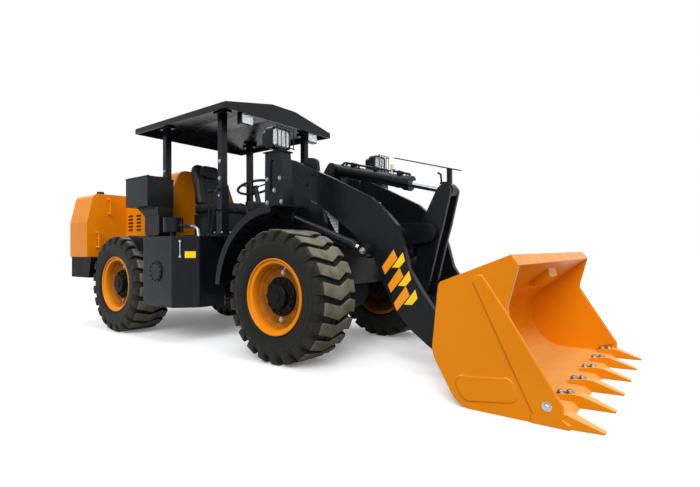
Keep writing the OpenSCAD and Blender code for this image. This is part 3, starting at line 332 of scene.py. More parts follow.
# Dusty moulded tyre rubber, a finish for each axle: black walls, with pale earth dried on the tread
RUBBER = {1: tyre_rubber("dusty_tyre_rubber_front", AXLE_X, "#0c0c0d", "#838070"),
          -1: tyre_rubber("dusty_tyre_rubber_rear", -AXLE_X, "#0c0c0d", "#838070")}
# Metal film in the lamps, broken up by its flutes: white and half diffuse, a painted reflection that keeps it
# bright
REFLECTOR = lamp_film("lamp_reflector_film", colour="#ffffff", shade="#dde1e6", flute_mm=18.85,
                      flute_depth_mm=3.0)
# Moulded glass over the film
GLASS = lamp_glass("clear_lamp_glass", colour="#ffffff", tint="#eef3f7")

# Finish of each solid, by its material slot, and by its name where that differs
BY_SLOT = {"orange_paint": ORANGE, "dark_paint": DARK, "cast_iron": CAST, "tyre_rubber": RUBBER[1],
           "bare_steel": ZINC, "chrome_rod": CHROME, "lamp_glass": DARK, "black_vinyl": VINYL}
BY_NODE = {"tread_plate": GALVANISED, "steering_column": PLASTIC, "air_filter": DARK, "seat_base": DARK,
           "counterweight": CAST}
for wheel, fore, side in WHEELS:
    BY_NODE["tyre_" + wheel] = RUBBER[fore]
    BY_NODE["rim_" + wheel] = RIM


def finish_solids():
    slots = {row["node"]: row["material_slot"] for row in frame["record"]["subparts"]}
    for name, solid in frame["nodes"].items():
        material = BY_NODE.get(name, BY_SLOT[slots[name]])
        if not solid.material_slots:
            solid.data.materials.append(material)
        for slot in solid.material_slots:
            slot.material = material


finish_solids()


# Makers: each adds a shape to a bmesh, in the model's own place
def box_in(bm, low, high, bevel=0.0):
    made = bmesh.ops.create_cube(bm, size=1.0)["verts"]
    low, high = Vector(low), Vector(high)
    for v in made:
        v.co = Vector([low[i] + (v.co[i] + 0.5) * (high[i] - low[i]) for i in range(3)])
    if bevel:
        edges = list({e for v in made for e in v.link_edges})
        bmesh.ops.bevel(bm, geom=edges, offset=bevel, segments=2, affect="EDGES", profile=0.5)


def rod_in(bm, a, b, r, r_end=None, sides=20):
    """Round rod from a to b, or a taper where r_end differs from r."""
    a, b = Vector(a), Vector(b)
    turn = Vector((0, 0, 1)).rotation_difference(b - a).to_matrix().to_4x4()
    bmesh.ops.create_cone(bm, cap_ends=True, segments=sides, radius1=r, radius2=r if r_end is None else r_end,
                          depth=(b - a).length, matrix=Matrix.Translation((a + b) / 2) @ turn)


def cross_rod_in(bm, x, z, y, y_end, r, r_end=None, sides=20):
    """Round rod across the machine."""
    rod_in(bm, at(x, y, z), at(x, y_end, z), r, r_end, sides)


# A bolt's washer, in metres, and the shares of its size across that its washer, head and crown take
WASHER_SUNK, WASHER_T, CROWN_GAP = 0.002, 0.003, 0.004
WASHER_R, HEAD_R, HEAD_H = 0.82, 0.58, 0.38
CROWN_R, CROWN_TOP_R, CROWN_H = 0.5, 0.4, 0.42


def bolt_in(bm, place, normal, across):
    """Hexagon head on a washer."""
    place, normal = Vector(place), Vector(normal).normalized()
    washer = place + normal * WASHER_T
    head = place + normal * (WASHER_T + across * HEAD_H)
    crown = place + normal * (CROWN_GAP + across * CROWN_H)
    rod_in(bm, place - normal * WASHER_SUNK, washer, across * WASHER_R, sides=24)
    rod_in(bm, washer, head, across * HEAD_R, sides=6)
    rod_in(bm, head, crown, across * CROWN_R, across * CROWN_TOP_R, sides=6)


def skin_in(bm, rings):
    """Closed skin over rings of points, with a face at each end."""
    rows = [[bm.verts.new(place) for place in ring] for ring in rings]
    for a, b in zip(rows, rows[1:]):
        for i in range(len(a)):
            j = (i + 1) % len(a)
            bm.faces.new((a[i], a[j], b[j], b[i]))
    bm.faces.new(rows[0])
    bm.faces.new(rows[-1])


def tube_in(bm, path, r, sides=12):
    """Round tube along a path of points, closed at its ends."""
    path = [Vector(p) for p in path]
    rings = []
    side = (path[1] - path[0]).normalized().orthogonal().normalized()
    for i, p in enumerate(path):
        ahead = (path[min(i + 1, len(path) - 1)] - path[max(i - 1, 0)]).normalized()
        side = (side - ahead * side.dot(ahead)).normalized()
        other = ahead.cross(side)
        turns = [2 * math.pi * k / sides for k in range(sides)]
        rings.append([p + r * (math.cos(t) * side + math.sin(t) * other) for t in turns])
    skin_in(bm, rings)


def turned_in(bm, section, foot, axis, start, sides):
    """Ring turned about an axis from a closed section of points: along the axis, radius."""
    other = axis.cross(start)
    rings = []
    for t in [2 * math.pi * k / sides for k in range(sides)]:
        out = math.cos(t) * start + math.sin(t) * other
        rings.append([bm.verts.new(foot + axis * along + out * r) for along, r in section])
    for a, b in zip(rings, rings[1:] + rings[:1]):
        for i in range(len(section)):
            j = (i + 1) % len(section)
            bm.faces.new((a[i], a[j], b[j], b[i]))


def plate_in(bm, outline, to_place, thick):
    """Flat plate: its outline in two coordinates, and to_place(u, v, w) its point at height w."""
    skin_in(bm, [[to_place(u, v, w) for u, v in outline] for w in (0.0, thick)])


def side_plate_in(bm, outline, side, y, thick):
    """Upright plate along the machine: its outline in x and z, from y outwards on one side."""
    plate_in(bm, outline, lambda x, z, w: at(x, side * (y + w), z), thick)


def rounded(half_w, half_h, r, n=6):
    """Rounded rectangle about the middle."""
    points = []
    for cx, cy, start in ((1, 1, 0), (-1, 1, 90), (-1, -1, 180), (1, -1, 270)):
        for k in range(n + 1):
            t = math.radians(start + 90 * k / n)
            points.append((cx * (half_w - r) + r * math.cos(t), cy * (half_h - r) + r * math.sin(t)))
    return points


def bent(points, r, n=6):
    """Path through the points with round bends of radius r."""
    points = [Vector(p) for p in points]
    path = [points[0]]
    for a, p, b in zip(points, points[1:], points[2:]):
        u, v = (a - p).normalized(), (b - p).normalized()
        half = u.angle(v) / 2
        reach = min(r / math.tan(half), 0.49 * min((a - p).length, (b - p).length))
        start, end = p + u * reach, p + v * reach
        for t in [k / n for k in range(n + 1)]:
            path.append((1 - t) ** 2 * start + 2 * t * (1 - t) * p + t ** 2 * end)
    return path + [points[-1]]


# Pieces: what a function builds becomes a mesh, and the mesh rides on a body
def built(build, sharp_deg=30):
    """Mesh of what build(bm) adds, smooth but for edges sharper than sharp_deg."""
    bm = bmesh.new()
    build(bm)
    bmesh.ops.recalc_face_normals(bm, faces=bm.faces)
    mesh = bpy.data.meshes.new("built")
    bm.to_mesh(mesh)
    bm.free()
    mesh.polygons.foreach_set("use_smooth", [True] * len(mesh.polygons))
    mesh.set_sharp_from_angle(angle=math.radians(sharp_deg))
    return mesh


def piece(name, mesh, body, material, replaces=None):
    """Links a finished mesh as a piece that rides on a body."""
    mesh.name = name
    mesh.materials.clear()
    mesh.materials.append(material)
    made = bpy.data.objects.new(name, mesh)
    scene.collection.objects.link(made)
    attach(made, body)
    if replaces:
        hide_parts(replaces)
    return made


def fit(name, build, body, material, sharp_deg=30, replaces=None):
    """Makes a piece of what build(bm) adds."""
    piece(name, built(build, sharp_deg), body, material, replaces)


def fit_pair(name, build, body, material, sharp_deg=30, replaces=None):
    """Makes one piece of what build(bm, side) adds on the right, side -1, and on the left, side 1."""
    def both(bm):
        for side in (-1, 1):
            build(bm, side)
    fit(name, both, body, material, sharp_deg, replaces)


# Repeats: node groups that copy one mesh round the Y axis, or along a step
def repeat_group(name, spacing, spacing_kind, lay_out):
    """Node group whose copies stand where lay_out(group, source) puts their points and turns."""
    group = bpy.data.node_groups.new(name, "GeometryNodeTree")
    for socket, kind in (("Geometry", "NodeSocketGeometry"), ("Count", "NodeSocketInt"),
                         (spacing, spacing_kind), ("Material", "NodeSocketMaterial")):
        group.interface.new_socket(name=socket, in_out="INPUT", socket_type=kind)
    group.interface.new_socket(name="Geometry", in_out="OUTPUT", socket_type="NodeSocketGeometry")
    source = add(group, "NodeGroupInput").node.outputs
    copies = add(group, "GeometryNodeInstanceOnPoints",
                 {"Instance": source["Geometry"], **lay_out(group, source)})
    real = add(group, "GeometryNodeRealizeInstances", {"Geometry": copies})
    painted = add(group, "GeometryNodeSetMaterial", {"Geometry": real, "Material": source["Material"]})
    add(group, "NodeGroupOutput", {"Geometry": painted})
    return group


def round_an_axle(group, source):
    points = add(group, "GeometryNodeMeshLine", {"Count": source["Count"], "Offset": (0, 0, 0)})
    index = add(group, "GeometryNodeInputIndex")
    step = add(group, "ShaderNodeMath", {0: 2 * math.pi, 1: source["Count"]}, operation="DIVIDE")
    turned = add(group, "ShaderNodeMath", {0: index, 1: step}, operation="MULTIPLY")
    angle = add(group, "ShaderNodeMath", {0: turned, 1: source["Start"]}, operation="ADD")
    euler = add(group, "ShaderNodeCombineXYZ", {1: angle})
    return {"Points": points, "Rotation": add(group, "FunctionNodeEulerToRotation", {0: euler})}


def along_a_step(group, source):
    points = add(group, "GeometryNodeMeshLine", {"Count": source["Count"], "Offset": source["Step"]})
    return {"Points": points}


RING = repeat_group("copies_round_an_axle", "Start", "NodeSocketFloat", round_an_axle)
ROW = repeat_group("copies_along_a_step", "Step", "NodeSocketVector", along_a_step)


def plain_mesh(holder):
    """What an object's modifiers make of it, as a plain mesh; the object is removed."""
    scene.collection.objects.link(holder)
    made = bpy.data.meshes.new_from_object(holder.evaluated_get(bpy.context.evaluated_depsgraph_get()))
    bpy.data.objects.remove(holder)
    return made


def repeated(mesh, group, material, **values):
    """Copies a mesh by a node group and gives back the copies as one plain mesh."""
    holder = bpy.data.objects.new("holder", mesh)
    modifier = holder.modifiers.new("repeat", "NODES")
    modifier.node_group = group
    sockets = {s.name: s.identifier for s in group.interface.items_tree if s.in_out == "INPUT"}
    for name, value in dict(values, Material=material).items():
        modifier[sockets[name]] = value
    made = plain_mesh(holder)
    bpy.data.meshes.remove(mesh)
    return made


def joined(*meshes):
    bm = bmesh.new()
    for mesh in meshes:
        bm.from_mesh(mesh)
    made = meshes[0].copy()
    bm.to_mesh(made)
    bm.free()
    for mesh in meshes:
        bpy.data.meshes.remove(mesh)
    return made


# Tyres: a carcass turned from its section, bars right across the tread and small ribs between them
LUG_COUNT = 22
CARCASS_SIDES = 132
# Half of the carcass's section, from bead to middle: across, radius
CARCASS = [(0.1805, 0.2975), (0.181, 0.309), (0.189, 0.317), (0.1965, 0.326), (0.2005, 0.334),
           (0.2000, 0.340), (0.2035, 0.352), (0.2065, 0.372), (0.2075, 0.394), (0.2070, 0.412),
           (0.2085, 0.415), (0.2085, 0.420), (0.2065, 0.423), (0.2045, 0.440), (0.1975, 0.462),
           (0.1850, 0.482), (0.1660, 0.4965), (0.1400, 0.5045), (0.0900, 0.5075), (0.0, 0.5080)]
# One bar from shoulder to shoulder: outer line (across, radius), foot (across, radius), edges round, all mm
LUG = [((-203, 431), (-194, 429), (-40, 22)), ((-209, 447), (-190, 446), (-48, 27)),
       ((-209.5, 470), (-182, 462), (-55, 31)), ((-203, 505), (-174, 484), (-61, 34)),
       ((-194, 522), (-160, 492), (-65, 36)), ((-175, 537), (-148, 498), (-68, 38)),
       ((0, 537), (0, 498), (-22, 92)), ((112, 537), (112, 498), (-76, 32)),
       ((175, 537), (148, 498), (-60, 44)), ((194, 522), (160, 492), (-57, 42)),
       ((203, 505), (174, 484), (-53, 40)), ((209.5, 470), (182, 462), (-47, 36)),
       ((209, 447), (190, 446), (-41, 32)), ((203, 431), (194, 429), (-34, 27))]
# How far a bar's sides lean in at its top and out at its foot, mm, and the rounding of its edges
LUG_TOP_IN_MM, LUG_FOOT_OUT_MM = 4, 3
LUG_EDGE, LUG_EDGE_LEAST_ANGLE = 0.005, 0.6
# Tie ribs in each groove: across and round, mm
TIE_RIBS = [(22, 103), (44, 92), (-40, 103)]
RIB_HALF_W_MM, RIB_HALF_LENGTH, RIB_EDGE = 4, 0.026, 0.002
RIB_FOOT_R, RIB_TOP_R = 0.500, 0.523


def put_wheel(mesh, fore, side):
    """Moves a mesh from a wheel's own frame, axle along Y and outer side at -Y, to its place."""
    turn = Matrix.Scale(-1, 4, (0, 1, 0)) if side > 0 else Matrix.Identity(4)
    mesh.transform(Matrix.Translation(at(fore * AXLE_X, side * WHEEL_Y, TYRE_R)) @ turn)
    if side > 0:
        mesh.flip_normals()


def carcass_in(bm):
    section = [(-s, r) for s, r in CARCASS] + [(s, r) for s, r in reversed(CARCASS[:-1])]
    turned_in(bm, section, Vector(), Vector((0, 1, 0)), Vector((0, 0, 1)), CARCASS_SIDES)


def on_tread(across, radius, around):
    """A place on a wheel's tread, from millimetres across, out and round from its top."""
    angle = around / MM_PER_M / TYRE_R
    return (radius / MM_PER_M * math.sin(angle), across / MM_PER_M, radius / MM_PER_M * math.cos(angle))


def lug_in(bm):
    """One bar at the top of the wheel, lofted across the tread and down over both shoulders."""
    rings = []
    for top, foot, (start, end) in LUG:
        ring = [(*top, start + LUG_TOP_IN_MM), (*top, (start + end) / 2), (*top, end - LUG_TOP_IN_MM),
                (*foot, end + LUG_FOOT_OUT_MM), (*foot, start - LUG_FOOT_OUT_MM)]
        rings.append([on_tread(*place) for place in ring])
    skin_in(bm, rings)
    bmesh.ops.recalc_face_normals(bm, faces=bm.faces)
    sharp = [e for e in bm.edges if len(e.link_faces) == 2 and e.calc_face_angle() > LUG_EDGE_LEAST_ANGLE]
    bmesh.ops.bevel(bm, geom=sharp, offset=LUG_EDGE, segments=2, affect="EDGES", profile=0.6)


def rib_in(bm, across):
    low, high = (across - RIB_HALF_W_MM) / MM_PER_M, (across + RIB_HALF_W_MM) / MM_PER_M
    box_in(bm, (-RIB_HALF_LENGTH, low, RIB_FOOT_R), (RIB_HALF_LENGTH, high, RIB_TOP_R), RIB_EDGE)


def make_tyre(name, fore, side):
    rubber = RUBBER[fore]
    parts = [built(carcass_in, 50), repeated(built(lug_in, 40), RING, rubber, Count=LUG_COUNT, Start=0.0)]
    for across, around in TIE_RIBS:
        rib = built(lambda bm: rib_in(bm, across), 40)
        parts.append(repeated(rib, RING, rubber, Count=LUG_COUNT, Start=around / MM_PER_M / TYRE_R))
    mesh = joined(*parts)
    put_wheel(mesh, fore, side)
    piece("lugged_tyre_" + name, mesh, "wheel_" + name, rubber, "tyre_" + name)


# Wheel fittings: bolts and a plug on each hub, two nuts on the disc and the tyre's valve
WHEEL_BOLT = 0.026
OUTWARDS = (0, -1, 0)
HUB_BOLT_COUNT, HUB_BOLT_R, HUB_FLANGE_Y = 12, 0.132, -0.115
HUB_PLUG_Y, HUB_PLUG_END_Y, HUB_PLUG_R, HUB_PLUG_END_R = -0.157, -0.166, 0.045, 0.04
DISC_Y, DISC_NUT_X, DISC_NUT_Z = -0.086, 0.012, 0.19
# Valve stem and its cap: from, to, radius
VALVE = [((0.13, -0.150, 0.235), (0.128, -0.176, 0.231), 0.005),
         ((0.128, -0.170, 0.231), (0.127, -0.184, 0.229), 0.007)]


def hub_bolt_in(bm):
    bolt_in(bm, (0, HUB_FLANGE_Y, HUB_BOLT_R), OUTWARDS, WHEEL_BOLT)


def hub_plug_in(bm):
    rod_in(bm, (0, HUB_PLUG_Y, 0), (0, HUB_PLUG_END_Y, 0), HUB_PLUG_R, HUB_PLUG_END_R, 32)


def disc_nuts_in(bm):
    for sense in (-1, 1):
        bolt_in(bm, (DISC_NUT_X * sense, DISC_Y, DISC_NUT_Z * sense), OUTWARDS, WHEEL_BOLT)
    for start, end, r in VALVE:
        rod_in(bm, start, end, r, sides=10)


def make_wheel_fittings(name, fore, side):
    bolts = repeated(built(hub_bolt_in), RING, CAST, Count=HUB_BOLT_COUNT, Start=0.0)
    bolts = joined(bolts, built(hub_plug_in))
    put_wheel(bolts, fore, side)
    piece("hub_bolts_" + name, bolts, "wheel_" + name, CAST)
    nuts = built(disc_nuts_in)
    put_wheel(nuts, fore, side)
    piece("disc_nuts_" + name, nuts, "wheel_" + name, ZINC)


for wheel in WHEELS:
    make_tyre(*wheel)
    make_wheel_fittings(*wheel)

# Bars on the outer faces of the arms: an orange and a yellow one in each of three pairs
ARM_FACE_Y = 0.420
BAR_SUNK, BAR_T = 0.001, 0.0025
BAR_COUNT, BAR_STEP = 3, (0.053, -0.140)
ORANGE_BAR = [(2.061, 0.908), (2.094, 0.837), (1.981, 0.710), (1.953, 0.770)]
YELLOW_BAR = [(2.143, 0.885), (2.162, 0.820), (2.114, 0.767), (2.045, 0.766)]


def make_bars(name, outline, material):
    def bars_in(bm, side):
        for k in range(BAR_COUNT):
            moved = [(x + k * BAR_STEP[0], z + k * BAR_STEP[1]) for x, z in outline]
            side_plate_in(bm, moved, side, ARM_FACE_Y - BAR_SUNK, BAR_T)
    fit_pair(name, bars_in, "lift_arms", material)


make_bars("arm_bars_orange", ORANGE_BAR, BAR_ORANGE)
make_bars("arm_bars_yellow", YELLOW_BAR, BAR_YELLOW)

# Bucket: tooth bolts, corner bolts, a box under the top plate and weld beads
LIP_X = 3.400
TOOTH_COUNT, TOOTH_SPREAD, TOOTH_Z = 6, 1.8454, 0.0303
# The shank of each tooth thickens away from its back end; its two bolts stand square to its top
SHANK_BACK, SHANK_LENGTH, SHANK_T, SHANK_RISE = 0.135, 0.095, 0.024, 0.016
TOOTH_BOLT, TOOTH_BOLTS_BACK, TOOTH_BOLT_UP = 0.032, (0.112, 0.062), (-0.165, 0, 1)
CORNER_BOLT, CORNER_X, CORNER_Y, CORNER_Z = 0.03, 3.317, 0.985, 0.101
# Curved back of the bucket, seen from the side: middle, radius and the arc from its top to its floor
SHELL_MIDDLE, SHELL_R, SHELL_ARC, SHELL_STEPS = (2.990, 0.318), 0.288, (112, 270), 36
BUCKET_FLOOR_FRONT = (3.25, 0.030)
BUCKET_IN_Y, BUCKET_OUT_Y = 0.950, 0.975
BEAD_R, OUTER_BEAD_R, BEAD_SIDES = 0.007, 0.0075, 8
# Outlines of the strip and the wear pad on each side plate, with the bend of their corners, and of the box
STRIP = [(3.250, 0.044), (2.928, 0.726), (2.972, 0.766), (3.110, 0.562), (3.388, 0.112), (3.388, 0.044)]
PAD = [(2.795, 0.176), (3.132, 0.208), (3.178, 0.092), (2.868, 0.046)]
STRIP_BEND, PAD_BEND = 0.02, 0.05
BOX = [(2.975, 0.668), (3.115, 0.772), (3.128, 0.712), (3.075, 0.664), (3.000, 0.640)]
BOX_HALF_W = 0.10


def tooth_bolts_in(bm):
    for back in TOOTH_BOLTS_BACK:
        top = TOOTH_Z + SHANK_T + SHANK_RISE * (SHANK_BACK - back) / SHANK_LENGTH
        bolt_in(bm, at(LIP_X - back, -TOOTH_SPREAD / 2, top), TOOTH_BOLT_UP, TOOTH_BOLT)


def corner_bolt_in(bm, side):
    bolt_in(bm, at(CORNER_X, side * CORNER_Y, CORNER_Z), (0, side, 0), CORNER_BOLT)


def middle_box_in(bm):
    side_plate_in(bm, BOX, 1, -BOX_HALF_W, 2 * BOX_HALF_W)


def weld_beads_in(bm, side):
    first, last = SHELL_ARC
    turns = [math.radians(first + (last - first) * k / SHELL_STEPS) for k in range(SHELL_STEPS + 1)]
    x, z = SHELL_MIDDLE
    inside = [(x + SHELL_R * math.cos(t), z + SHELL_R * math.sin(t)) for t in turns]
    path = [at(u, side * BUCKET_IN_Y, v) for u, v in inside + [BUCKET_FLOOR_FRONT]]
    tube_in(bm, path, BEAD_R, BEAD_SIDES)
    for outline, bend in ((STRIP, STRIP_BEND), (PAD, PAD_BEND)):
        closed = [at(x, side * BUCKET_OUT_Y, z) for x, z in outline + outline[:2]]
        tube_in(bm, bent(closed, bend)[1:-1], OUTER_BEAD_R, BEAD_SIDES)


piece("tooth_bolts", repeated(built(tooth_bolts_in), ROW, ZINC, Count=TOOTH_COUNT,
                              Step=(0, TOOTH_SPREAD / (TOOTH_COUNT - 1), 0)), "bucket", ZINC)
fit_pair("bucket_corner_bolts", corner_bolt_in, "bucket", ZINC)
fit("bucket_middle_box", middle_box_in, "bucket", ORANGE)
fit_pair("bucket_weld_beads", weld_beads_in, "bucket", ORANGE, 60)

# Lamps: a reflector and a glass in each headlamp and each work lamp; middle, half sizes and corner
HEADLAMP = ((1.108, 0.752, 1.843), (0.0925, 0.0725), 0.032)
WORK_LAMP = ((0.424, 0.479, 2.200), (0.066, 0.050), 0.014)
# Each pane: its piece, lamp, body, finish, distance ahead of the lamp's middle and thickness
PANES = [("headlamp_reflectors", HEADLAMP, "front_frame", REFLECTOR, 0.0545, 0.0015),
         ("headlamp_glasses", HEADLAMP, "front_frame", GLASS, 0.0575, 0.006),
         ("work_lamp_reflectors", WORK_LAMP, "rear_frame", REFLECTOR, 0.0, 0.002),
         ("work_lamp_glasses", WORK_LAMP, "rear_frame", GLASS, 0.004, 0.006)]


def make_panes(name, lamp, body, material, ahead, thick):
    (x, y, z), half, corner = lamp

    def pane_in(bm, side):
        plate_in(bm, rounded(*half, corner), lambda u, v, w: at(x + ahead + w, side * y + u, z + v), thick)
    fit_pair(name, pane_in, body, material)


for pane in PANES:
    make_panes(*pane)

# Lamp posts: bolts on their outer faces
POST_FACE_Y, POST_BOLT = 0.812, 0.022
POST_BOLTS = [(1.066, 1.305), (1.232, 1.305), (1.066, 1.500), (1.216, 1.500), (1.150, 1.405)]


def post_bolts_in(bm, side):
    for x, z in POST_BOLTS:
        bolt_in(bm, at(x, side * POST_FACE_Y, z), (0, side, 0), POST_BOLT)


fit_pair("lamp_post_bolts", post_bolts_in, "front_frame", ZINC)

# Towers: a perforated sheet on the outer face of each
TOWER_FACE_Y, SHEET_T = 0.341, 0.003
SHEET = [(1.140, 1.420), (1.449, 1.374), (1.449, 1.026), (1.400, 1.100), (1.278, 1.306), (1.140, 1.340)]


def tower_sheet_in(bm, side):
    side_plate_in(bm, SHEET, side, TOWER_FACE_Y, SHEET_T)


fit_pair("tower_sheets", tower_sheet_in, "front_frame", PERFORATED)

# Canopy posts: base flanges, bolts and a bent grab loop on each front post
CANOPY_POSTS = [(0.190, 0.597), (-0.795, 0.597)]
FLANGE_HALF_X, FLANGE_HALF_Y, FLANGE_T, FLANGE_EDGE = 0.072, 0.062, 0.012, 0.003
FLANGE_BOLT, FLANGE_BOLT_X, FLANGE_BOLT_Y = 0.016, 0.057, 0.05
CLAMP_BOLT, CLAMP_BOLT_OUT, CLAMP_BOLTS_Z = 0.026, 0.033, (1.45, 1.62, 1.79)
# Grab loop: ahead of the post's middle, out from it, and height
LOOP = [(0, 0.040, 1.30), (0.01, 0.095, 1.31), (0.02, 0.095, 1.50), (0, 0.040, 1.51)]
LOOP_BEND, LOOP_R = 0.03, 0.009


def canopy_flanges_in(bm, side):
    for x, y in CANOPY_POSTS:
        foot = at(x, side * y, DECK_Z)
        box_in(bm, foot - Vector((FLANGE_HALF_X, FLANGE_HALF_Y, 0)),
               foot + Vector((FLANGE_HALF_X, FLANGE_HALF_Y, FLANGE_T)), FLANGE_EDGE)


def canopy_bolts_in(bm, side):
    for x, y in CANOPY_POSTS:
        for dx in (-FLANGE_BOLT_X, FLANGE_BOLT_X):
            for dy in (-FLANGE_BOLT_Y, FLANGE_BOLT_Y):
                bolt_in(bm, at(x + dx, side * y + dy, DECK_Z + FLANGE_T), (0, 0, 1), FLANGE_BOLT)
        for z in CLAMP_BOLTS_Z:
            bolt_in(bm, at(x, side * (y + CLAMP_BOLT_OUT), z), (0, side, 0), CLAMP_BOLT)


def grab_loop_in(bm, side):
    x, y = CANOPY_POSTS[0]
    tube_in(bm, bent([at(x + ahead, side * (y + out), z) for ahead, out, z in LOOP], LOOP_BEND), LOOP_R)


fit_pair("canopy_post_flanges", canopy_flanges_in, "rear_frame", DARK)
fit_pair("canopy_post_bolts", canopy_bolts_in, "rear_frame", ZINC)
fit_pair("post_grab_loops", grab_loop_in, "rear_frame", DARK, 40)

# Tilt cylinder, from tail pin to rod pin: clipped pipes, clamps, a tee with its cap and the rod's eye
TILT_TAIL, TILT_PIN = Vector((1.140, 0, 1.690)), Vector((2.330, 0, 1.385))
TILT_AHEAD = (TILT_PIN - TILT_TAIL).normalized()
TILT_UP = Vector((-TILT_AHEAD.z, 0, TILT_AHEAD.x))
TILT_BARREL_R = 0.056
# Pipes: y and far end along the barrel; their ends dip from the run above the barrel into its ports
PIPES = [(0.024, 0.83), (-0.024, 0.30)]
PIPE_R, PIPE_BEND, PIPE_RISE, PORT_RISE, PIPE_TAIL, PORT_TAIL = 0.010, 0.02, 0.078, 0.05, 0.13, 0.10
CLAMPS_ALONG, CLAMP_HALF_W, CLAMP_T = (0.22, 0.48, 0.74), 0.014, 0.003
CLIP_RISE, CLIP_HALF, CLIP_EDGE = 0.072, Vector((0.014, 0.038, 0.018)), 0.003
TEE_ALONG, TEE_SUNK, TEE_H, TEE_R = 0.66, 0.004, 0.055, 0.013
TEE_ARM, TEE_ARM_RISE, TEE_ARM_R = 0.03, 0.035, 0.010
CAP_TOP, CAP_R, CAP_TOP_R = 0.085, 0.014, 0.011
TILT_EYE_HALF_W, TILT_EYE_R = 0.0485, 0.0605


def on_tilt(along, rise, y=0.0):
    """A place along the tilt cylinder and above its middle line."""
    p = TILT_TAIL + TILT_AHEAD * along + TILT_UP * rise
    return at(p.x, y, p.z)


TEE_FOOT = on_tilt(TEE_ALONG, TILT_BARREL_R - TEE_SUNK)


def over_tee(rise, ahead=0.0):
    return TEE_FOOT + Vector((ahead, 0, rise))


def tilt_pipes_in(bm):
    for y, end in PIPES:
        path = [(end, PORT_RISE), (end, PIPE_RISE), (PIPE_TAIL, PIPE_RISE), (PORT_TAIL, PORT_RISE)]
        tube_in(bm, bent([on_tilt(along, rise, y) for along, rise in path], PIPE_BEND), PIPE_R)
    for along in CLAMPS_ALONG:
        rear, front = on_tilt(along - CLAMP_HALF_W, 0), on_tilt(along + CLAMP_HALF_W, 0)
        rod_in(bm, rear, front, TILT_BARREL_R + CLAMP_T, sides=40)
        clip = on_tilt(along, CLIP_RISE)
        box_in(bm, clip - CLIP_HALF, clip + CLIP_HALF, CLIP_EDGE)


def tee_in(bm):
    rod_in(bm, over_tee(0), over_tee(TEE_H), TEE_R, sides=6)
    rod_in(bm, over_tee(TEE_ARM_RISE, -TEE_ARM), over_tee(TEE_ARM_RISE, TEE_ARM), TEE_ARM_R, sides=16)


def tee_cap_in(bm):
    rod_in(bm, over_tee(TEE_H), over_tee(CAP_TOP), CAP_R, CAP_TOP_R, sides=20)


def tilt_eye_in(bm):
    cross_rod_in(bm, TILT_PIN.x, TILT_PIN.z, -TILT_EYE_HALF_W, TILT_EYE_HALF_W, TILT_EYE_R, sides=44)


fit("tilt_cylinder_pipes", tilt_pipes_in, "tilt_barrel", DARK, 40)
fit("tilt_tee", tee_in, "tilt_barrel", ZINC)
fit("tilt_tee_cap", tee_cap_in, "tilt_barrel", BRASS, 40)
fit("tilt_eye_boss", tilt_eye_in, "tilt_rod", DARK)

# Lift cylinders, from tail pin to rod pin: the barrel's long end sleeve, the rod's eye and its grease cap
LIFT_TAIL, LIFT_PIN = Vector((0.800, 0, 1.270)), Vector((1.830, 0, 0.900))
LIFT_Y = 0.474
# Section of the sleeve round the rod: along the cylinder, radius
SLEEVE = [(0.855, 0.0445), (0.985, 0.0445), (0.992, 0.040), (1.000, 0.036), (1.000, 0.0262), (0.862, 0.0262)]
SLEEVE_SIDES = 40
LIFT_EYE_HALF_W, LIFT_EYE_R = 0.0375, 0.0525
# Grease cap and its nipple, out along y
GREASE_Y, GREASE_CAP_Y, NIPPLE_Y = 0.520, 0.530, 0.542
GREASE_R, GREASE_CAP_R, NIPPLE_R = 0.024, 0.020, 0.006


def lift_sleeve_in(bm, side):
    foot = at(LIFT_TAIL.x, side * LIFT_Y, LIFT_TAIL.z)
    turned_in(bm, SLEEVE, foot, (LIFT_PIN - LIFT_TAIL).normalized(), Vector((0, 1, 0)), SLEEVE_SIDES)


def lift_eye_in(bm, side):
    inner, outer = side * (LIFT_Y - LIFT_EYE_HALF_W), side * (LIFT_Y + LIFT_EYE_HALF_W)
    cross_rod_in(bm, LIFT_PIN.x, LIFT_PIN.z, inner, outer, LIFT_EYE_R, sides=40)


def grease_cap_in(bm, side):
    x, z = LIFT_PIN.x, LIFT_PIN.z
    cross_rod_in(bm, x, z, side * GREASE_Y, side * GREASE_CAP_Y, GREASE_R, GREASE_CAP_R, 24)
    cross_rod_in(bm, x, z, side * GREASE_CAP_Y, side * NIPPLE_Y, NIPPLE_R, sides=10)


fit_pair("lift_barrel_sleeves", lift_sleeve_in, "lift_barrels", DARK)
fit_pair("lift_eye_bosses", lift_eye_in, "lift_rods", DARK)
fit_pair("lift_eye_grease_caps", grease_cap_in, "lift_rods", ZINC)

# Right tank: flange bolts, sight gauge, filler elbow, outlet of the air filter and a blank plate
TANK_FLANGE, TANK_BOLT, TANK_BOLT_R, TANK_BOLT_COUNT = (-0.420, -0.962, 0.700), 0.014, 0.090, 12
# The tank's chamfered corner from rear to front, seen from above, and the way it looks
CHAMFER_A, CHAMFER_B, CHAMFER_OUT = (-0.130, -0.950), (0.053, -0.767), (0.7071, -0.7071)
# Sight gauge: share along the chamfer, glass and the two nuts that hold it
GAUGE_ALONG, GAUGE_Z, GAUGE_OUT, GAUGE_R = 0.30, (0.86, 1.00), 0.010, 0.008
GAUGE_NUTS_Z, GAUGE_NUT_OUT, GAUGE_NUT_R = (0.85, 1.00), (-0.004, 0.022), 0.012
ELBOW = [(-0.20, -0.70, 1.160), (-0.08, -0.70, 1.140), (-0.06, -0.70, 1.048)]
ELBOW_BEND, ELBOW_R, PIPE_SIDES = 0.06, 0.016, 18
OUTLET, OUTLET_R = [(-0.36, -0.74, 1.165), (-0.28, -0.715, 1.166), (-0.19, -0.70, 1.158)], 0.020
